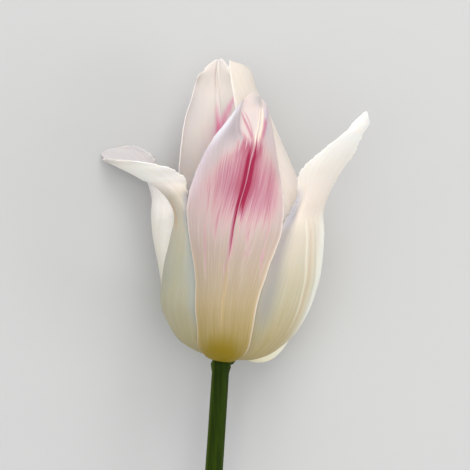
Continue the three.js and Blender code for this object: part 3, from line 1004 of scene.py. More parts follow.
@dataclass
class Tepal:
    """One tepal: a thin sheet hung on three rails of [azimuth, way along the profile, way out]."""

    node: str
    rails: Rails
    layer: Layer
    finish: PetalFinish
    relief: Relief
    seed: int
    slot: str = "tepal_pale"
    bulges: tuple[Bulge, ...] = ()
    brow: tuple[tuple[float, float], ...] = ((-1.0, -0.012), (0.0, 0.004), (1.0, -0.012))
    tooth: float = 0.01
    hug: float = 0.4
    thickness: float = 0.62
    margin_thickness: float = 0.36
    rounding: float = 0.24
    rib_count: float = 24.0
    rib_height: float = 0.09
    ripple_height: float = 0.22
    across_steps: int = 76
    along_steps: int = 270

    def sheet(self, u: Array, v: Array) -> Array:
        """Place points of the middle of the sheet.

        Args:
            u: Across, from one edge (-1) to the other (1).
            v: Along, from the foot (0) to the tip (1).

        Returns:
            Points in the frame, in millimetres.
        """
        table = np.array(self.rails, float).reshape(len(self.rails), 9)
        brow = np.array(self.brow)
        reach = v + curve(brow[:, 0], brow[:, 1:], u)[..., 0] * smooth(v, 0.85, 1.0)
        row = curve(np.linspace(0, 1, len(table)), table, reach)
        swell = np.where(u < 0, wander(v * 20, self.seed), wander(v * 20, self.seed + 1)) * self.tooth
        swell *= np.abs(u) ** 6 * smooth(v, 0.1, 0.5)
        for bulge in self.bulges:
            swell += bulge.amount * hump(v, bulge.along, bulge.reach) * np.clip(u * bulge.side, 0, 1) ** 3
        shore = u + np.sign(u) * swell
        weights = (shore * (shore - 1) / 2, 1 - shore**2, shore * (shore + 1) / 2)
        azimuth, along, out = (
            sum(w * row[..., 3 * k + c] for k, w in enumerate(weights)) for c in range(3)
        )
        out = out - self.layer.value * CUP.layer_pitch + self.relief(u, v)
        lean = self.hug * np.abs(u) ** 6 * smooth(v, 0.02, 0.08) * (1 - smooth(v, 0.48, 0.56))
        return CUP.surface(azimuth, along, out - lean)

    def grid(self) -> tuple[Array, Array]:
        """Give the grid of the sheet, with its lines drawn together at the edges.

        Returns:
            The places across and along, each as rows along by columns across.
        """
        u = np.sin(np.linspace(-math.pi / 2, math.pi / 2, self.across_steps + 1))
        close = np.array([0.0, 0.0004, 0.001, 0.0019, 0.0029])
        inner = np.linspace(0.005, 0.995, self.along_steps + 1 - 2 * len(close))
        v = np.concatenate([close, inner, 1 - close[::-1]])
        return np.meshgrid(u, v)

    def half_thickness(self, middle: Array, u: Array, v: Array) -> Array:
        """Thin the sheet towards its margin and round it off there.

        Args:
            middle: Points of the middle of the sheet.
            u: Across.
            v: Along.

        Returns:
            Half the thickness at each point, in millimetres.
        """
        across = np.linalg.norm(np.diff(middle, axis=1), axis=-1)
        along = np.linalg.norm(np.diff(middle, axis=0), axis=-1)
        left = np.pad(np.cumsum(across, axis=1), ((0, 0), (1, 0)))
        foot = np.pad(np.cumsum(along, axis=0), ((1, 0), (0, 0)))
        rim = np.minimum(np.minimum(left, left[:, -1:] - left), np.minimum(foot, foot[-1:] - foot))
        near = 1 - np.clip(rim / self.rounding, 0, 1)
        body = self.thickness - (self.thickness - self.margin_thickness) * smooth(np.abs(u), 0.35, 0.95)
        return body * (1 - 0.2 * smooth(v, 0.5, 0.9)) / 2 * np.sqrt(1 - near**2)

    @staticmethod
    def faces(u: Array, v: Array) -> tuple[Array, Array]:
        """Lay the faces of both sides, which share their points at the rim.

        Args:
            u: Across, over the grid.
            v: Along, over the grid.

        Returns:
            The corner numbers of each face, and the map position of each corner.
        """
        rows, columns = u.shape
        number = np.arange(u.size).reshape(u.shape)
        under = number.copy()
        own = np.arange((rows - 2) * (columns - 2)).reshape(rows - 2, -1)
        under[1:-1, 1:-1] = u.size + own
        near, far = slice(0, -1), slice(1, None)
        corners = ((near, near), (near, far), (far, far), (far, near))
        back = corners[::-1]
        flat = np.stack([MAP_EDGE + MAP_HALF * (u + 1), v], -1)
        faces = (np.stack([number[c] for c in corners], -1), np.stack([under[c] for c in back], -1))
        map_out = np.stack([flat[c] for c in corners], -2)
        map_in = np.stack([flat[c] for c in back], -2) + (MAP_INNER, 0)
        return (
            np.concatenate([block.reshape(-1, 4) for block in faces]),
            np.concatenate([block.reshape(-1, 2) for block in (map_out, map_in)]),
        )

    def build(self, skin: SkinTree) -> bpy.types.Object:
        """Make the tepal's mesh and dress it.

        Args:
            skin: Geometry tree that raises the ribs.

        Returns:
            The finished object, riding on the flower.
        """
        u, v = self.grid()
        middle = self.sheet(u, v)
        normal = np.cross(np.gradient(middle, axis=1), np.gradient(middle, axis=0))
        normal /= np.linalg.norm(normal, axis=-1, keepdims=True)
        half = self.half_thickness(middle, u, v)
        middle[..., 2] = np.maximum(middle[..., 2], half * np.abs(normal[..., 2]) + SHEET_GAP)
        outer = middle + normal * half[..., None]
        inner = middle - normal * half[..., None]
        faces, uv = self.faces(u, v)
        made = new_object(self.node + "_skin", two_faces(outer, inner), faces, uv)
        attach(made.data, "across", two_faces(u, u))
        attach(made.data, "along", two_faces(v, v))
        attach(made.data, "away", two_faces(normal, normal))
        baked(made, skin.tree, {
            "Rib Count": self.rib_count, "Rib Height": self.rib_height * MM,
            "Ripple Height": self.ripple_height * MM, "Seed": float(self.seed),
            "Material": self.finish.material(),
        })
        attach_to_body(made, "root")
        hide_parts(self.node)
        return made


# Colours that several tepals share
# Lilac grey of painted shade
SHADE_LILAC = paint(190, 178, 192)
ROSE = paint(186, 108, 132)
CREAM = paint(255, 248, 236)
# Grey of a painted shadow
SHADOW_GREY = paint(168, 166, 170)
TAN = paint(206, 166, 128)


def level(
    along: float, azimuths: tuple[float, float, float], outs: tuple[float, float, float] = (0, 0, 0)
) -> tuple[tuple[float, float, float], ...]:
    """Give the three rails' points that lie at one way along the profile."""
    return tuple((azimuth, along, out) for azimuth, out in zip(azimuths, outs))


FRONT = PetalFinish(
    "petal_flamed",
    # Ground: the tepal's own cream turning beige towards the foot, and darker and tanner there as painted
    # shade
    stops(
        (0.0, 140, 118, 8), (0.16, 164, 142, 74), (0.22, 172, 151, 102),
        (0.30, 173, 155, 126), (0.42, 178, 158, 146), (0.62, 194, 174, 176),
        (0.85, 196, 184, 184),
    ),
    spot_reach=0.215, pleat=PLEAT,
    washes=(
        # Pale band along the upper left margin: partly its own paler tint, partly painted light of the
        # backlit rim
        Streak((-0.95, 0.62), (-0.97, 0.8), (-0.97, 0.96), 0.1, 0.7, 0.06, colour=paint(214, 202, 212)),
        # Painted shade on the upper left, which faces away from the light
        Streak((-0.70, 0.68), (-0.76, 0.8), (-0.8, 0.93), 0.2, 0.5, 0.06, colour=paint(176, 166, 168)),
        # Paler rim at the top left: partly its own paler tint, partly painted light of the backlit rim
        Streak((-0.98, 0.80), (-0.95, 0.87), (-0.93, 0.97), 0.12, 0.85, 0.04, colour=paint(220, 219, 222)),
        # Painted shade in lilac grey under the hood, right of the valley
        Streak((0.36, 0.82), (0.47, 0.874), (0.78, 0.944), 0.11, 0.8, 0.03, colour=SHADE_LILAC),
        # Painted shade in grey across the hood
        Streak((0.38, 0.945), (0.38, 0.97), (0.38, 0.999), 0.34, 0.75, 0.02, colour=paint(176, 173, 170)),
        Streak((-0.08, 0.755), (-0.22, 0.79), (-0.40, 0.83), 0.07, 0.65, 0.025, colour=ROSE),
        Streak((-0.06, 0.765), (-0.20, 0.835), (-0.62, 0.92), 0.045, 0.8, 0.02, colour=ROSE),
        Streak((-0.10, 0.80), (-0.23, 0.872), (-0.49, 0.924), 0.026, 0.55, 0.02, colour=ROSE),
        Streak((0.05, 0.745), (0.17, 0.80), (0.40, 0.876), 0.085, 0.8, 0.02, colour=ROSE),
        Streak((-0.03, 0.765), (0.0, 0.816), (0.27, 0.93), 0.03, 0.9, 0.012, colour=paint(238, 224, 204)),
        Streak((0.03, 0.77), (0.13, 0.82), (0.48, 0.93), 0.035, 0.9, 0.012, colour=paint(240, 226, 204)),
        # Painted shade in the groove between the two cream ridges
        Streak((0.02, 0.78), (0.06, 0.83), (0.36, 0.93), 0.014, 0.6, 0.012, colour=paint(196, 184, 172)),
        # Light lines along the lower margins: partly their own tint, partly painted highlight
        Streak((-0.95, 0.1), (-0.93, 0.3), (-0.95, 0.44), 0.05, 0.2, 0.05, colour=paint(222, 190, 152)),
        Streak((0.95, 0.1), (0.94, 0.3), (0.96, 0.44), 0.05, 0.2, 0.05, colour=paint(222, 190, 152)),
        Streak((0.0, 0.18), (-0.02, 0.28), (-0.04, 0.36), 0.05, 0.3, 0.05, colour=paint(210, 180, 130)),
    ),
    flames=(
        Streak((0.0, 0.50), (0.0, 0.62), (0.0, 0.74), 0.72, 0.33, 0.11),
        Streak((0.02, 0.57), (-0.06, 0.66), (-0.07, 0.765), 0.25, 0.5, 0.06),
        Streak((-0.52, 0.59), (-0.54, 0.66), (-0.5, 0.73), 0.24, 0.14, 0.06),
        Streak((0.50, 0.50), (0.54, 0.60), (0.52, 0.69), 0.24, 0.24, 0.06),
        Streak((-0.30, 0.74), (-0.26, 0.76), (-0.34, 0.785), 0.14, 0.38, 0.025),
        Streak((0.10, 0.72), (0.14, 0.75), (0.2, 0.78), 0.1, 0.35, 0.025),
        Streak((0.0, 0.40), (-0.06, 0.55), (-0.12, 0.75), 0.034, 0.75, 0.07),
        Streak((0.04, 0.51), (0.005, 0.635), (0.015, 0.745), 0.038, 0.7, 0.03),
        Streak((0.015, 0.44), (-0.035, 0.595), (-0.04, 0.745), 0.013, -0.6, 0.03),
        Streak((-0.60, 0.36), (-0.60, 0.42), (-0.60, 0.50), 0.025, 0.22, 0.04),
        Streak((-0.36, 0.44), (-0.38, 0.49), (-0.38, 0.54), 0.03, 0.2, 0.04),
        Streak((0.44, 0.38), (0.33, 0.43), (0.26, 0.48), 0.022, 0.25, 0.03),
        Streak((0.86, 0.33), (0.72, 0.40), (0.64, 0.50), 0.025, 0.26, 0.04),
        Streak((-0.11, 0.34), (-0.07, 0.39), (-0.05, 0.43), 0.02, 0.22, 0.03),
    ),
)
LEFT = PetalFinish(
    "petal_left",
    # Ground: darker and tanner on the body as painted shade, brightest on the arm as painted light for its
    # backlit glow
    stops(
        (0.0, 158, 142, 76), (0.16, 172, 163, 126), (0.30, 174, 173, 153),
        (0.45, 190, 181, 160), (0.55, 200, 190, 174), (0.62, 236, 228, 218),
        (0.70, 254, 250, 242), (0.88, 242, 238, 229), (0.97, 206, 200, 194),
    ),
    washes=(
        # Painted shadow cast by the front tepal along its margin
        Streak((0.86, 0.16), (0.52, 0.33), (0.36, 0.46), 0.15, 0.6, 0.05, colour=paint(162, 168, 166)),
        Streak((0.36, 0.44), (0.62, 0.5), (0.95, 0.57), 0.22, 0.8, 0.03, colour=SHADOW_GREY),
        # Painted shade in the crease of the neck
        Streak((-0.25, 0.42), (-0.38, 0.48), (-0.15, 0.55), 0.10, 0.6, 0.03, colour=TAN),
        Streak((-0.1, 0.2), (0.1, 0.3), (0.0, 0.42), 0.2, 0.3, 0.06, colour=paint(182, 176, 138)),
    ),
)
RIGHT = PetalFinish(
    "petal_right",
    # Ground: the tepal's own cream, darker and tanner towards the foot as painted shade
    stops(
        (0.0, 168, 148, 80), (0.14, 180, 163, 116), (0.24, 184, 175, 146),
        (0.40, 208, 198, 182), (0.52, 232, 219, 206), (0.8, 253, 248, 240),
    ),
    washes=(
        # Painted shadow of the front tepal along its margin, lilac grey above and greenish grey below
        Streak((-0.66, 0.18), (-0.72, 0.36), (-0.92, 0.50), 0.17, 0.9, 0.04, colour=paint(158, 150, 148)),
        Streak((-0.86, 0.42), (-0.92, 0.49), (-0.98, 0.57), 0.16, 0.75, 0.03, colour=paint(176, 174, 182)),
        Streak((-0.70, 0.12), (-0.62, 0.2), (-0.62, 0.28), 0.2, 0.4, 0.06, colour=paint(160, 162, 146)),
        # Painted light on the right flank, where grazing light falls
        Streak((0.6, 0.14), (0.56, 0.28), (0.5, 0.46), 0.26, 0.8, 0.08, colour=paint(240, 240, 230)),
        Streak((0.19, 0.17), (0.05, 0.33), (-0.16, 0.44), 0.03, 0.3, 0.04, colour=TAN),
        Streak((0.27, 0.17), (0.13, 0.33), (-0.08, 0.44), 0.022, 0.3, 0.04, colour=paint(226, 204, 176)),
        Streak((0.12, 0.17), (-0.05, 0.33), (-0.28, 0.44), 0.03, 0.3, 0.04, colour=CREAM),
    ),
)
BEHIND = PetalFinish(
    "petal_behind",
    stops(
        (0.0, 236, 226, 180), (0.12, 252, 244, 220), (0.35, 222, 212, 198),
        (0.50, 230, 220, 212), (0.70, 226, 215, 207), (0.85, 208, 199, 188),
    ),
)
LOBED = PetalFinish(
    "petal_lobe",
    # Ground greyer towards the tip, and the inner face grey: painted shade on the lip
    stops(
        (0.0, 200, 188, 126), (0.16, 206, 198, 158), (0.35, 226, 220, 206),
        (0.5, 238, 230, 222), (0.7, 212, 206, 204), (0.85, 198, 193, 194),
    ),
    inner=paint(198, 193, 194),
)
INNER = PetalFinish(
    "petal_inner",
    stops(
        (0.0, 190, 176, 100), (0.16, 206, 196, 150), (0.35, 226, 214, 200),
        (0.6, 240, 222, 216), (0.85, 246, 232, 226),
    ),
    inner=paint(253, 245, 241), inner_share=0.9, margin=paint(252, 240, 234), ragged=0.02,
    pigment=stops(
        (0.0, 255, 238, 234), (0.4, 255, 214, 224), (0.8, 255, 176, 204),
        (1.0, 250, 150, 184),
    ),
    washes=(
        Streak((0.0, 0.86), (0.0, 0.93), (0.0, 1.1), 1.6, 0.7, 0.08, colour=paint(216, 208, 200)),
        Streak((-0.02, 0.66), (-0.08, 0.84), (0.0, 0.98), 0.012, 0.4, 0.04, colour=paint(200, 176, 168)),
        Streak((-0.06, 0.66), (-0.13, 0.84), (-0.06, 0.98), 0.03, 0.7, 0.04, colour=CREAM),
    ),
    flames=(
        Streak((0.02, 0.70), (-0.25, 0.775), (-0.95, 0.84), 0.13, 0.62, 0.03),
        Streak((0.02, 0.66), (0.04, 0.73), (0.02, 0.79), 0.07, 0.45, 0.04),
        Streak((0.1, 0.45), (0.15, 0.62), (0.2, 0.78), 0.4, 0.16, 0.1),
    ),
)

TEPALS = (
    Tepal("tepal_front", (
        level(0, (-37, -9, 19)),
        level(9, (-40, -9, 22)),
        level(18, (-32, -9, 17)),
        level(28, (-31, -9, 15.5)),
        level(37, (-34, -8.5, 20)),
        level(45.5, (-38, -4, 30)),
        level(53, (-41, 2, 36)),
        level(60, (-38.5, 10, 39)),
        level(67, (-31, 18, 43), (0, 0.2, 0)),
        level(73.5, (-18, 27, 49), (0, 0.4, 0)),
        ((1, 79, 0), (34, 79.5, 0.6), (56, 79, 0)),
        ((18, 83, 0.3), (38, 84.8, 1), (56, 83.6, 0.4)),
    ), Layer.OVER, FRONT, pinched_tip, 11, slot="tepal_flamed", brow=(
        (-1.0, -0.02), (-0.92, 0.013), (-0.83, -0.001), (-0.7, 0.01), (-0.5, 0.014), (0.0, 0.01),
        (0.6, 0.0), (0.85, -0.012), (1.0, -0.035),
    )),
    Tepal("tepal_left", (
        level(0, (-97, -69, -41)),
        level(9, (-99, -66, -34), (0.1, 0, 0)),
        level(18, (-97, -62, -27), (-0.1, 0, 0)),
        level(28, (-92, -58, -23), (-0.1, 0, 0)),
        level(37, (-79, -54, -22), (-0.1, 0, -0.1)),
        level(45, (-71, -50, -24), (-1.3, -0.1, -0.5)),
        ((-67, 51.8, -1.5), (-48.5, 51.4, 0.2), (-35, 52, -0.8)),
        ((-62, 56.1, 1.6), (-49, 56, 3.2), (-42, 57, -0.4)),
        ((-59.5, 59, 7), (-49, 58.7, 7.6), (-43.5, 60.2, 2)),
        ((-58, 59.9, 12), (-48, 59.7, 11.6), (-39.5, 61.7, 6)),
        ((-56.5, 60.8, 16.8), (-47, 60.2, 16), (-35.5, 62.2, 11.5)),
        ((-55.5, 61.5, 21.6), (-47.5, 60.7, 20), (-38, 62.2, 16.5)),
        ((-55, 61.8, 24.6), (-50, 61.5, 24.6), (-43, 62, 22)),
        ((-54.9, 61.9, 25.6), (-53.5, 62, 26.6), (-51, 62.4, 26)),
    ), Layer.BESIDE, LEFT, waved_edges, 23, bulges=(Bulge(1, 0.66, 0.06, 0.16),), tooth=0.038),
    Tepal("tepal_right", (
        level(0, (23, 51, 79)),
        level(9, (18, 51, 83)),
        level(18, (10, 51, 92), (0, 0, 0.2)),
        level(28, (8, 51, 97), (0, 0, 0.2)),
        level(37, (12, 53, 98), (0, 0.3, 0.6)),
        level(45, (24, 58, 97), (0, 0.9, 1.5)),
        ((37, 50, 0.2), (62, 50, 1.5), (92, 50.6, 2.4)),
        ((43, 54.3, 3.4), (60.5, 54.2, 5.2), (86, 54.4, 5.2)),
        ((41, 58, 7.6), (58.5, 58, 9.8), (82.5, 57.5, 9.2)),
        ((42, 60.4, 11.6), (58, 60.5, 14.6), (78.5, 60.3, 14.2)),
        level(62.4, (47, 58, 72.5), (17, 19, 18.6)),
        ((53, 64.5, 23), (59, 64.6, 24.2), (67, 64.6, 23.4)),
        ((56, 66.1, 25.4), (59.4, 66.4, 26.7), (64.6, 66.1, 26)),
        ((58.8, 67.3, 27.1), (60.7, 67.6, 27.6), (62.5, 67.1, 27.4)),
    ), Layer.BESIDE, RIGHT, flank_fold, 37, bulges=(
        Bulge(-1, 0.66, 0.07, 0.14), Bulge(-1, 0.86, 0.1, 0.32), Bulge(1, 0.90, 0.1, 0.4),
    ), tooth=0.06, brow=((-1.0, 0.0), (0.0, 0.012), (1.0, 0.014))),
    Tepal("tepal_back_left", (
        level(0, (-157, -129, -101)),
        level(9, (-163, -129, -93), (0, 0.2, -0.2)),
        level(18, (-167, -128, -86), (0, 0.4, -0.2)),
        level(28, (-168, -127, -72), (0, 0.6, -0.2)),
        level(36, (-167, -126, -68), (0, 1.2, -0.2)),
        level(45, (-164, -124, -66), (0, 2.8, -1)),
        ((-157, 51.5, 1.6), (-121, 51.5, 5), (-60, 52, -2)),
        ((-150, 56.4, 4), (-122, 56, 6.9), (-68, 57.6, -0.6)),
        ((-140, 60.6, 9.1), (-122.5, 60, 10.2), (-94, 61.4, 5.4)),
        ((-134, 62.8, 13.1), (-123, 61.8, 13.4), (-107, 62, 11.1)),
        ((-131, 67, 16), (-122.5, 63.6, 16.6), (-110.7, 62.8, 15.1)),
        ((-128.3, 68.4, 18.6), (-121, 65, 19.7), (-112, 63.3, 19)),
        ((-124.3, 68.6, 21.9), (-119.3, 65.6, 22.8), (-113.4, 63.8, 22.4)),
        ((-118.3, 66.6, 26.6), (-116.7, 65.4, 26.8), (-115.9, 64.4, 26)),
    ), Layer.UNDER, LOBED, full_flank, 41, tooth=0.05),
    Tepal("tepal_back_right", (
        level(0, (83, 111, 139)),
        level(9, (87, 112, 146), (0.6, 2.7, 0.6)),
        level(18, (85, 114, 152), (-0.4, 1.1, 0.9)),
        level(28, (76, 115, 156), (-0.4, 0.7, 1)),
        level(37, (62, 113, 158), (-0.2, 0.9, 1)),
        level(45, (33, 101, 158), (-0.3, 0.8, 0.6)),
        level(53, (27, 96, 159), (-0.3, 0, 0)),
        level(62, (27, 94, 160), (-0.1, -0.3, 0.1)),
        level(71, (22, 91, 161), (-1, -0.4, 0.2)),
        level(80, (15, 90, 162), (-1.3, 0, 0.2)),
        ((15, 88.5, -0.8), (88, 87, 0.3), (160, 86, 0)),
        ((17, 94.2, -0.3), (88, 91.8, 0.8), (157, 90, 0)),
        ((22, 97.8, 0.2), (86, 94.6, 0.5), (150, 93.7, 0)),
    ), Layer.UNDER, BEHIND, drawn_in_tip, 53),
    Tepal("tepal_back", (
        level(0, (143, 171, 199)),
        level(9, (136, 173, 210)),
        level(18, (132, 177, 220), (0, -0.3, 0)),
        level(28, (130, 180, 228), (0, -0.6, 0)),
        level(37, (130, 182, 234), (0, -0.6, 0)),
        level(45, (130, 184, 240), (0, -0.6, 0)),
        level(53, (131, 187, 247), (-0.2, -0.4, 0)),
        level(62, (134, 191, 255), (-0.5, 0, 0.5)),
        level(71, (140, 192, 258), (-0.5, 0.3, 1.6)),
        level(80, (145, 194, 256), (-0.3, 0.6, 2.4)),
        level(88, (151, 196, 252), (0, 0.9, 2.2)),
        ((160, 93.5, 0.6), (197, 94, 1.6), (242, 93.5, 2.2)),
        ((170, 97, 1.6), (190, 98.2, 2.2), (212, 97.2, 2.4)),
    ), Layer.INNERMOST, INNER, creased_back, 67, bulges=(
        Bulge(1, 0.93, 0.03, 0.24), Bulge(1, 0.955, 0.012, -0.26), Bulge(-1, 0.97, 0.03, 0.25),
    ), brow=((-1.0, -0.002), (-0.7, 0.009), (-0.4, 0.01), (0.0, 0.0), (0.4, 0.003), (1.0, -0.008))),
)


@dataclass
class Bloom:
    """The six tepals."""

    skin: SkinTree = field(default_factory=SkinTree)
    tepals: tuple[Tepal, ...] = TEPALS

    def build(self) -> list[bpy.types.Object]:
        """Build every tepal."""
        return [tepal.build(self.skin) for tepal in self.tepals]


# Stem and the parts inside the cup


@dataclass
class Stem:
    """The stalk with the receptacle that the tepals stand round."""

    radius_top: float = 2.4
    radius_cut: float = 2.9
    receptacle: tuple[tuple[float, float], ...] = (
        (-0.4, 2.65), (0.1, 2.9), (0.8, 3.15), (1.6, 3.25), (2.4, 3.2), (3.2, 3.1), (3.8, 2.85),
        (4.1, 2.4), (4.2, 1.7),
    )
    droop: float = 1.6
    steps: int = 64
    sides: int = 40
    line_height: float = 0.09
    finish: StalkFinish = field(default_factory=StalkFinish)

    def line(self) -> tuple[Array, Array]:
        """Run from the cut end to the top of the receptacle.

        Returns:
            The points of the stalk's middle and its radius at each, in millimetres.
        """
        t = 1 - np.linspace(0, 1, self.steps)
        foot = CUP.point(0.0, 0.0, -1.2)
        x = foot[0] + STALK_LEAN * t + STALK_CURVE * t**2
        y = foot[1] - STALK_LENGTH * t
        rest = self.radius_cut * 0.9
        z = CUP.axis_height + (rest - CUP.axis_height) * t**self.droop
        stalk = np.stack([x, y, z], -1)
        radius = self.radius_top + (self.radius_cut - self.radius_top) * t
        radius += 0.5 * smooth(1 - t, 0.985, 1.0)
        radius -= 0.35 * hump(1 - t, 0.0, 0.0015)
        heights, radii = np.array(self.receptacle).T
        neck = CUP.point(0.0, 0.0, heights)
        return np.concatenate([stalk, neck]), np.concatenate([radius, radii])

    def build(self, sweep: StalkTree) -> bpy.types.Object:
        """Sweep the stalk along its line and dress it.

        Args:
            sweep: Geometry tree that sweeps the section.

        Returns:
            The finished stem.
        """
        points, radius = self.line()
        mesh = bpy.data.meshes.new("stalk")
        mesh.from_pydata((points * MM).tolist(), [(k, k + 1) for k in range(len(points) - 1)], [])
        attach(mesh, "radius", radius * MM)
        made = bpy.data.objects.new("stalk", mesh)
        bpy.context.collection.objects.link(made)
        baked(made, sweep.tree, {
            "Sides": self.sides, "Line Height": self.line_height * MM, "Seed": 4.0,
            "Material": self.finish.material(),
        })
        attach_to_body(made, "root")
        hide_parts("stem")
        return made


def ringed(rings: Array) -> tuple[Array, list]:
    """Close a stack of rings to a solid.

    Args:
        rings: Points of the rings, as rings by points by 3.

    Returns:
        The points with the two end centres, and the faces.
    """
    count, around = rings.shape[:2]
    points = np.concatenate([rings.reshape(-1, 3), rings[0].mean(0)[None], rings[-1].mean(0)[None]])
    faces: list = []
    for j in range(count - 1):
        for i in range(around):
            a, b = j * around + i, j * around + (i + 1) % around
            faces.append((a, b, b + around, a + around))
    ends = (count * around, count * around + 1)
    for i in range(around):
        following = (i + 1) % around
        faces.append((ends[0], following, i))
        faces.append((ends[1], (count - 1) * around + i, (count - 1) * around + following))
    return points, faces


@dataclass
class Pistil:
    """The three-sided ovary and the three-lobed stigma on it."""

    foot: float = 4.5
    ovary_top: float = 21.0
    neck: float = 21.3
    stigma_top: float = 24.5
    around: int = 72
    ovary_finish: SpeckFinish = SpeckFinish(
        "ovary_green", paint(178, 192, 120), paint(206, 214, 160), 0.5, 900.0
    )
    stigma_finish: SpeckFinish = SpeckFinish(
        "stigma_cream", paint(226, 214, 150), paint(244, 238, 196), 0.85, 2600.0
    )

    def solid(self, name: str, rows: Sequence[tuple[float, float, float]], steps: int) -> bpy.types.Object:
        """Make a solid with three lobes.

        Args:
            name: Name of the object.
            rows: Height, radius and depth of the lobes, from the foot up.
            steps: Number of rings.

        Returns:
            The bare object.
        """
        table = np.array(rows, float)
        heights = np.linspace(table[0, 0], table[-1, 0], steps)
        shape = curve(table[:, 0], table[:, 1:], heights)
        azimuth = np.linspace(0, 360, self.around, endpoint=False)[None]
        lobes = np.cos(np.radians(3 * azimuth)) + 0.25 * np.cos(np.radians(6 * azimuth))
        radius = shape[:, :1] * (1 + shape[:, 1:] * lobes)
        return new_object(name, *ringed(CUP.point(azimuth, radius, heights[:, None])))

    def build(self, grains: GrainTree) -> list[bpy.types.Object]:
        """Build the ovary and the stigma.

        Args:
            grains: Geometry tree that sows the grains.

        Returns:
            The ovary and the stigma.
        """
        ovary = self.solid("ovary", (
            (self.foot, 1.6, 0), (6.5, 2.3, 0.06), (10, 3, 0.1), (15, 3.1, 0.12), (19, 2.6, 0.1),
            (self.ovary_top, 2.1, 0.05),
        ), 40)
        ovary.data.materials.append(self.ovary_finish.material())
        stigma = self.solid("stigma", (
            (self.neck, 2.2, 0.1), (22.3, 3.6, 0.25), (23.4, 4.3, 0.3), (24.1, 3.6, 0.28),
            (self.stigma_top, 2.2, 0.2),
        ), 22)
        baked(stigma, grains.tree, {
            "Density": 9.0e6, "Grain Radius": 0.11 * MM, "Seed": 5,
            "Material": self.stigma_finish.material(),
        })
        for made, node, slot in ((ovary, "pistil_ovary", "ovary"), (stigma, "pistil_stigma", "stigma")):
            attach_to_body(made, "root")
            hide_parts(node)
        return [ovary, stigma]


@dataclass
class Stamens:
    """Six filaments round the ovary, each with its anther."""

    count: int = 6
    foot: float = 4.5
    filament_top: float = 13.0
    anther_length: float = 10.5
    around: int = 20
    first_azimuth: float = 21.0
    filament_finish: SpeckFinish = SpeckFinish(
        "filament_pale", paint(228, 224, 178), paint(240, 238, 210), 0.5, 1200.0
    )
    anther_finish: SpeckFinish = SpeckFinish(
        "anther_ochre", paint(176, 128, 30), paint(222, 180, 70), 0.9, 3000.0
    )

    def rods(
        self, name: str, rows: Sequence[tuple[float, ...]], furrow: float, steps: int
    ) -> bpy.types.Object:
        """Make one rod for each stamen.

        Args:
            name: Name of the object.
            rows: Height, radius out, half width and half thickness, from the foot up.
            furrow: Depth of the furrows inside and outside, as a share of the thickness.
            steps: Number of rings.

        Returns:
            The bare object with all the rods.
        """
        table = np.array(rows, float)
        heights = np.linspace(table[0, 0], table[-1, 0], steps)
        shape = curve(table[:, 0], table[:, 1:], heights)[:, None]
        angle = np.linspace(0, 2 * math.pi, self.around, endpoint=False)[None]
        swell = 1 - furrow * np.cos(angle) ** 8
        turn = np.degrees(shape[..., 1] * np.sin(angle) / shape[..., 0])
        points: list[Array] = []
        faces: list[tuple[int, ...]] = []
        for k in range(self.count):
            azimuth = self.first_azimuth + 360 * k / self.count + turn
            radius = shape[..., 0] + shape[..., 2] * np.cos(angle) * swell
            rod, rod_faces = ringed(CUP.point(azimuth, radius, heights[:, None]))
            start = sum(len(p) for p in points)
            faces += [tuple(c + start for c in face) for face in rod_faces]
            points.append(rod)
        return new_object(name, np.concatenate(points), faces)

    def build(self, grains: GrainTree) -> list[bpy.types.Object]:
        """Build the filaments and the anthers.

        Args:
            grains: Geometry tree that sows the grains.

        Returns:
            The filaments and the anthers.
        """
        seat = self.filament_top + 0.3
        filaments = self.rods("filaments", (
            (self.foot, 2.65, 0.5, 0.4), (8.5, 4.7, 0.7, 0.5), (self.filament_top - 1, 6, 0.6, 0.5),
            (self.filament_top, 6.2, 0.4, 0.4),
        ), 0.0, 24)
        filaments.data.materials.append(self.filament_finish.material())
        anthers = self.rods("anthers", (
            (seat, 6.3, 0.7, 0.6), (seat + 1.5, 6.5, 1.2, 0.9),
            (seat + self.anther_length * 0.5, 7, 1.3, 0.9),
            (seat + self.anther_length * 0.85, 7.4, 1.1, 0.8),
            (seat + self.anther_length, 7.6, 0.5, 0.4),
        ), 0.45, 26)
        baked(anthers, grains.tree, {
            "Density": 7.0e6, "Grain Radius": 0.09 * MM, "Seed": 9,
            "Material": self.anther_finish.material(),
        })
        for made, stem in ((filaments, "filament"), (anthers, "anther")):
            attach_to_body(made, "root")
            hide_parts(*(f"{stem}_{k + 1}" for k in range(self.count)))
        return [filaments, anthers]


# Set


@dataclass(frozen=True)
class Lamp:
    """A square soft light that looks at a point."""

    name: str
    place: tuple[float, float, float]
    size: float
    power: float
    colour: tuple[float, float, float] = (1.0, 1.0, 1.0)
    aim: tuple[float, float, float] = (0.0, 0.05, 0.02)

    def build(self) -> bpy.types.Object:
        """Hang the light.

        Returns:
            The lamp.
        """
        light = bpy.data.lights.new(self.name, "AREA")
        light.size = self.size
        light.energy = self.power
        light.color = self.colour
        made = bpy.data.objects.new(self.name, light)
        bpy.context.collection.objects.link(made)
        made.location = self.place
        way = np.subtract(self.aim, self.place)
        made.rotation_euler = (
            math.atan2(math.hypot(way[0], way[1]), -way[2]), 0.0, math.atan2(way[1], way[0]) - math.pi / 2,
        )
        return made


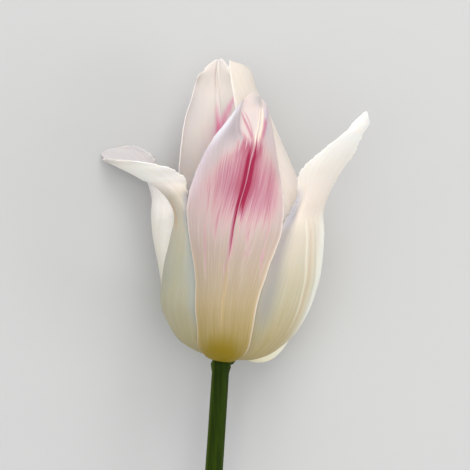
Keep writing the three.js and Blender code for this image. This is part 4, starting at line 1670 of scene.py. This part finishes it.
@dataclass
class Studio:
    """Floor, lights and the camera that looks straight down on the bloom."""

    floor_half: float = 3.0
    focal: float = 200.0
    sensor: float = 36.0
    distance: float = 731.0
    aim_x: float = 3.92
    aim_height: float = 35.28
    sky: Colour = (0.94, 0.96, 1.0, 1.0)
    sky_strength: float = 0.6
    floor_finish: FloorFinish = field(default_factory=FloorFinish)
    lamps: tuple[Lamp, ...] = (
        Lamp("key", (0.3, 1.0, 0.85), 0.7, 7.6, (1.0, 0.985, 0.96)),
        Lamp("overhead", (0.0, 0.25, 1.4), 1.1, 7.6, (1.0, 0.99, 0.98)),
        Lamp("fill", (-0.9, -0.1, 0.8), 0.9, 2.3, (0.95, 0.97, 1.0)),
        Lamp("side", (1.0, -0.15, 0.55), 0.6, 3.4, (0.98, 0.99, 1.0)),
    )

    def build(self) -> None:
        """Lay the floor, hang the lights and place the camera."""
        h = self.floor_half / MM
        corners = np.array([(-h, -h, 0), (h, -h, 0), (h, h, 0), (-h, h, 0)], float)
        floor = new_object("floor", corners, [(0, 1, 2, 3)])
        floor.data.materials.append(self.floor_finish.material())
        for lamp in self.lamps:
            lamp.build()
        world = bpy.data.worlds.new("studio")
        world.use_nodes = True
        background = world.node_tree.nodes["Background"]
        background.inputs["Color"].default_value = self.sky
        background.inputs["Strength"].default_value = self.sky_strength
        bpy.context.scene.world = world
        bpy.context.scene.view_settings.view_transform = "Standard"
        self.camera()

    def camera(self) -> None:
        """Place the camera over the bloom, with the tip of the bloom up in the picture."""
        data = bpy.data.cameras.new("camera")
        data.lens = self.focal
        data.sensor_width = self.sensor
        made = bpy.data.objects.new("camera", data)
        bpy.context.collection.objects.link(made)
        made.location = (
            (self.aim_x - CUP.centre_x) * MM,
            (self.aim_height - CUP.centre_y) * MM,
            (CUP.axis_height + self.distance) * MM,
        )
        bpy.context.scene.camera = made


def main() -> None:
    """Build the flower and its set in order."""
    logging.basicConfig(level=logging.INFO, format="%(name)s: %(message)s")
    missing = {"stem", "tepal_front", "pistil_stigma"} - set(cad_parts)
    if missing:
        raise ValueError(f"the frame lacks {sorted(missing)}")
    grains = GrainTree()
    built = [*Bloom().build(), Stem().build(StalkTree())]
    built += [*Pistil().build(grains), *Stamens().build(grains)]
    for piece in built:
        LOG.info("%s has %d faces", piece.name, len(piece.data.polygons))
    Studio().build()


if __name__ == "__main__":
    main()
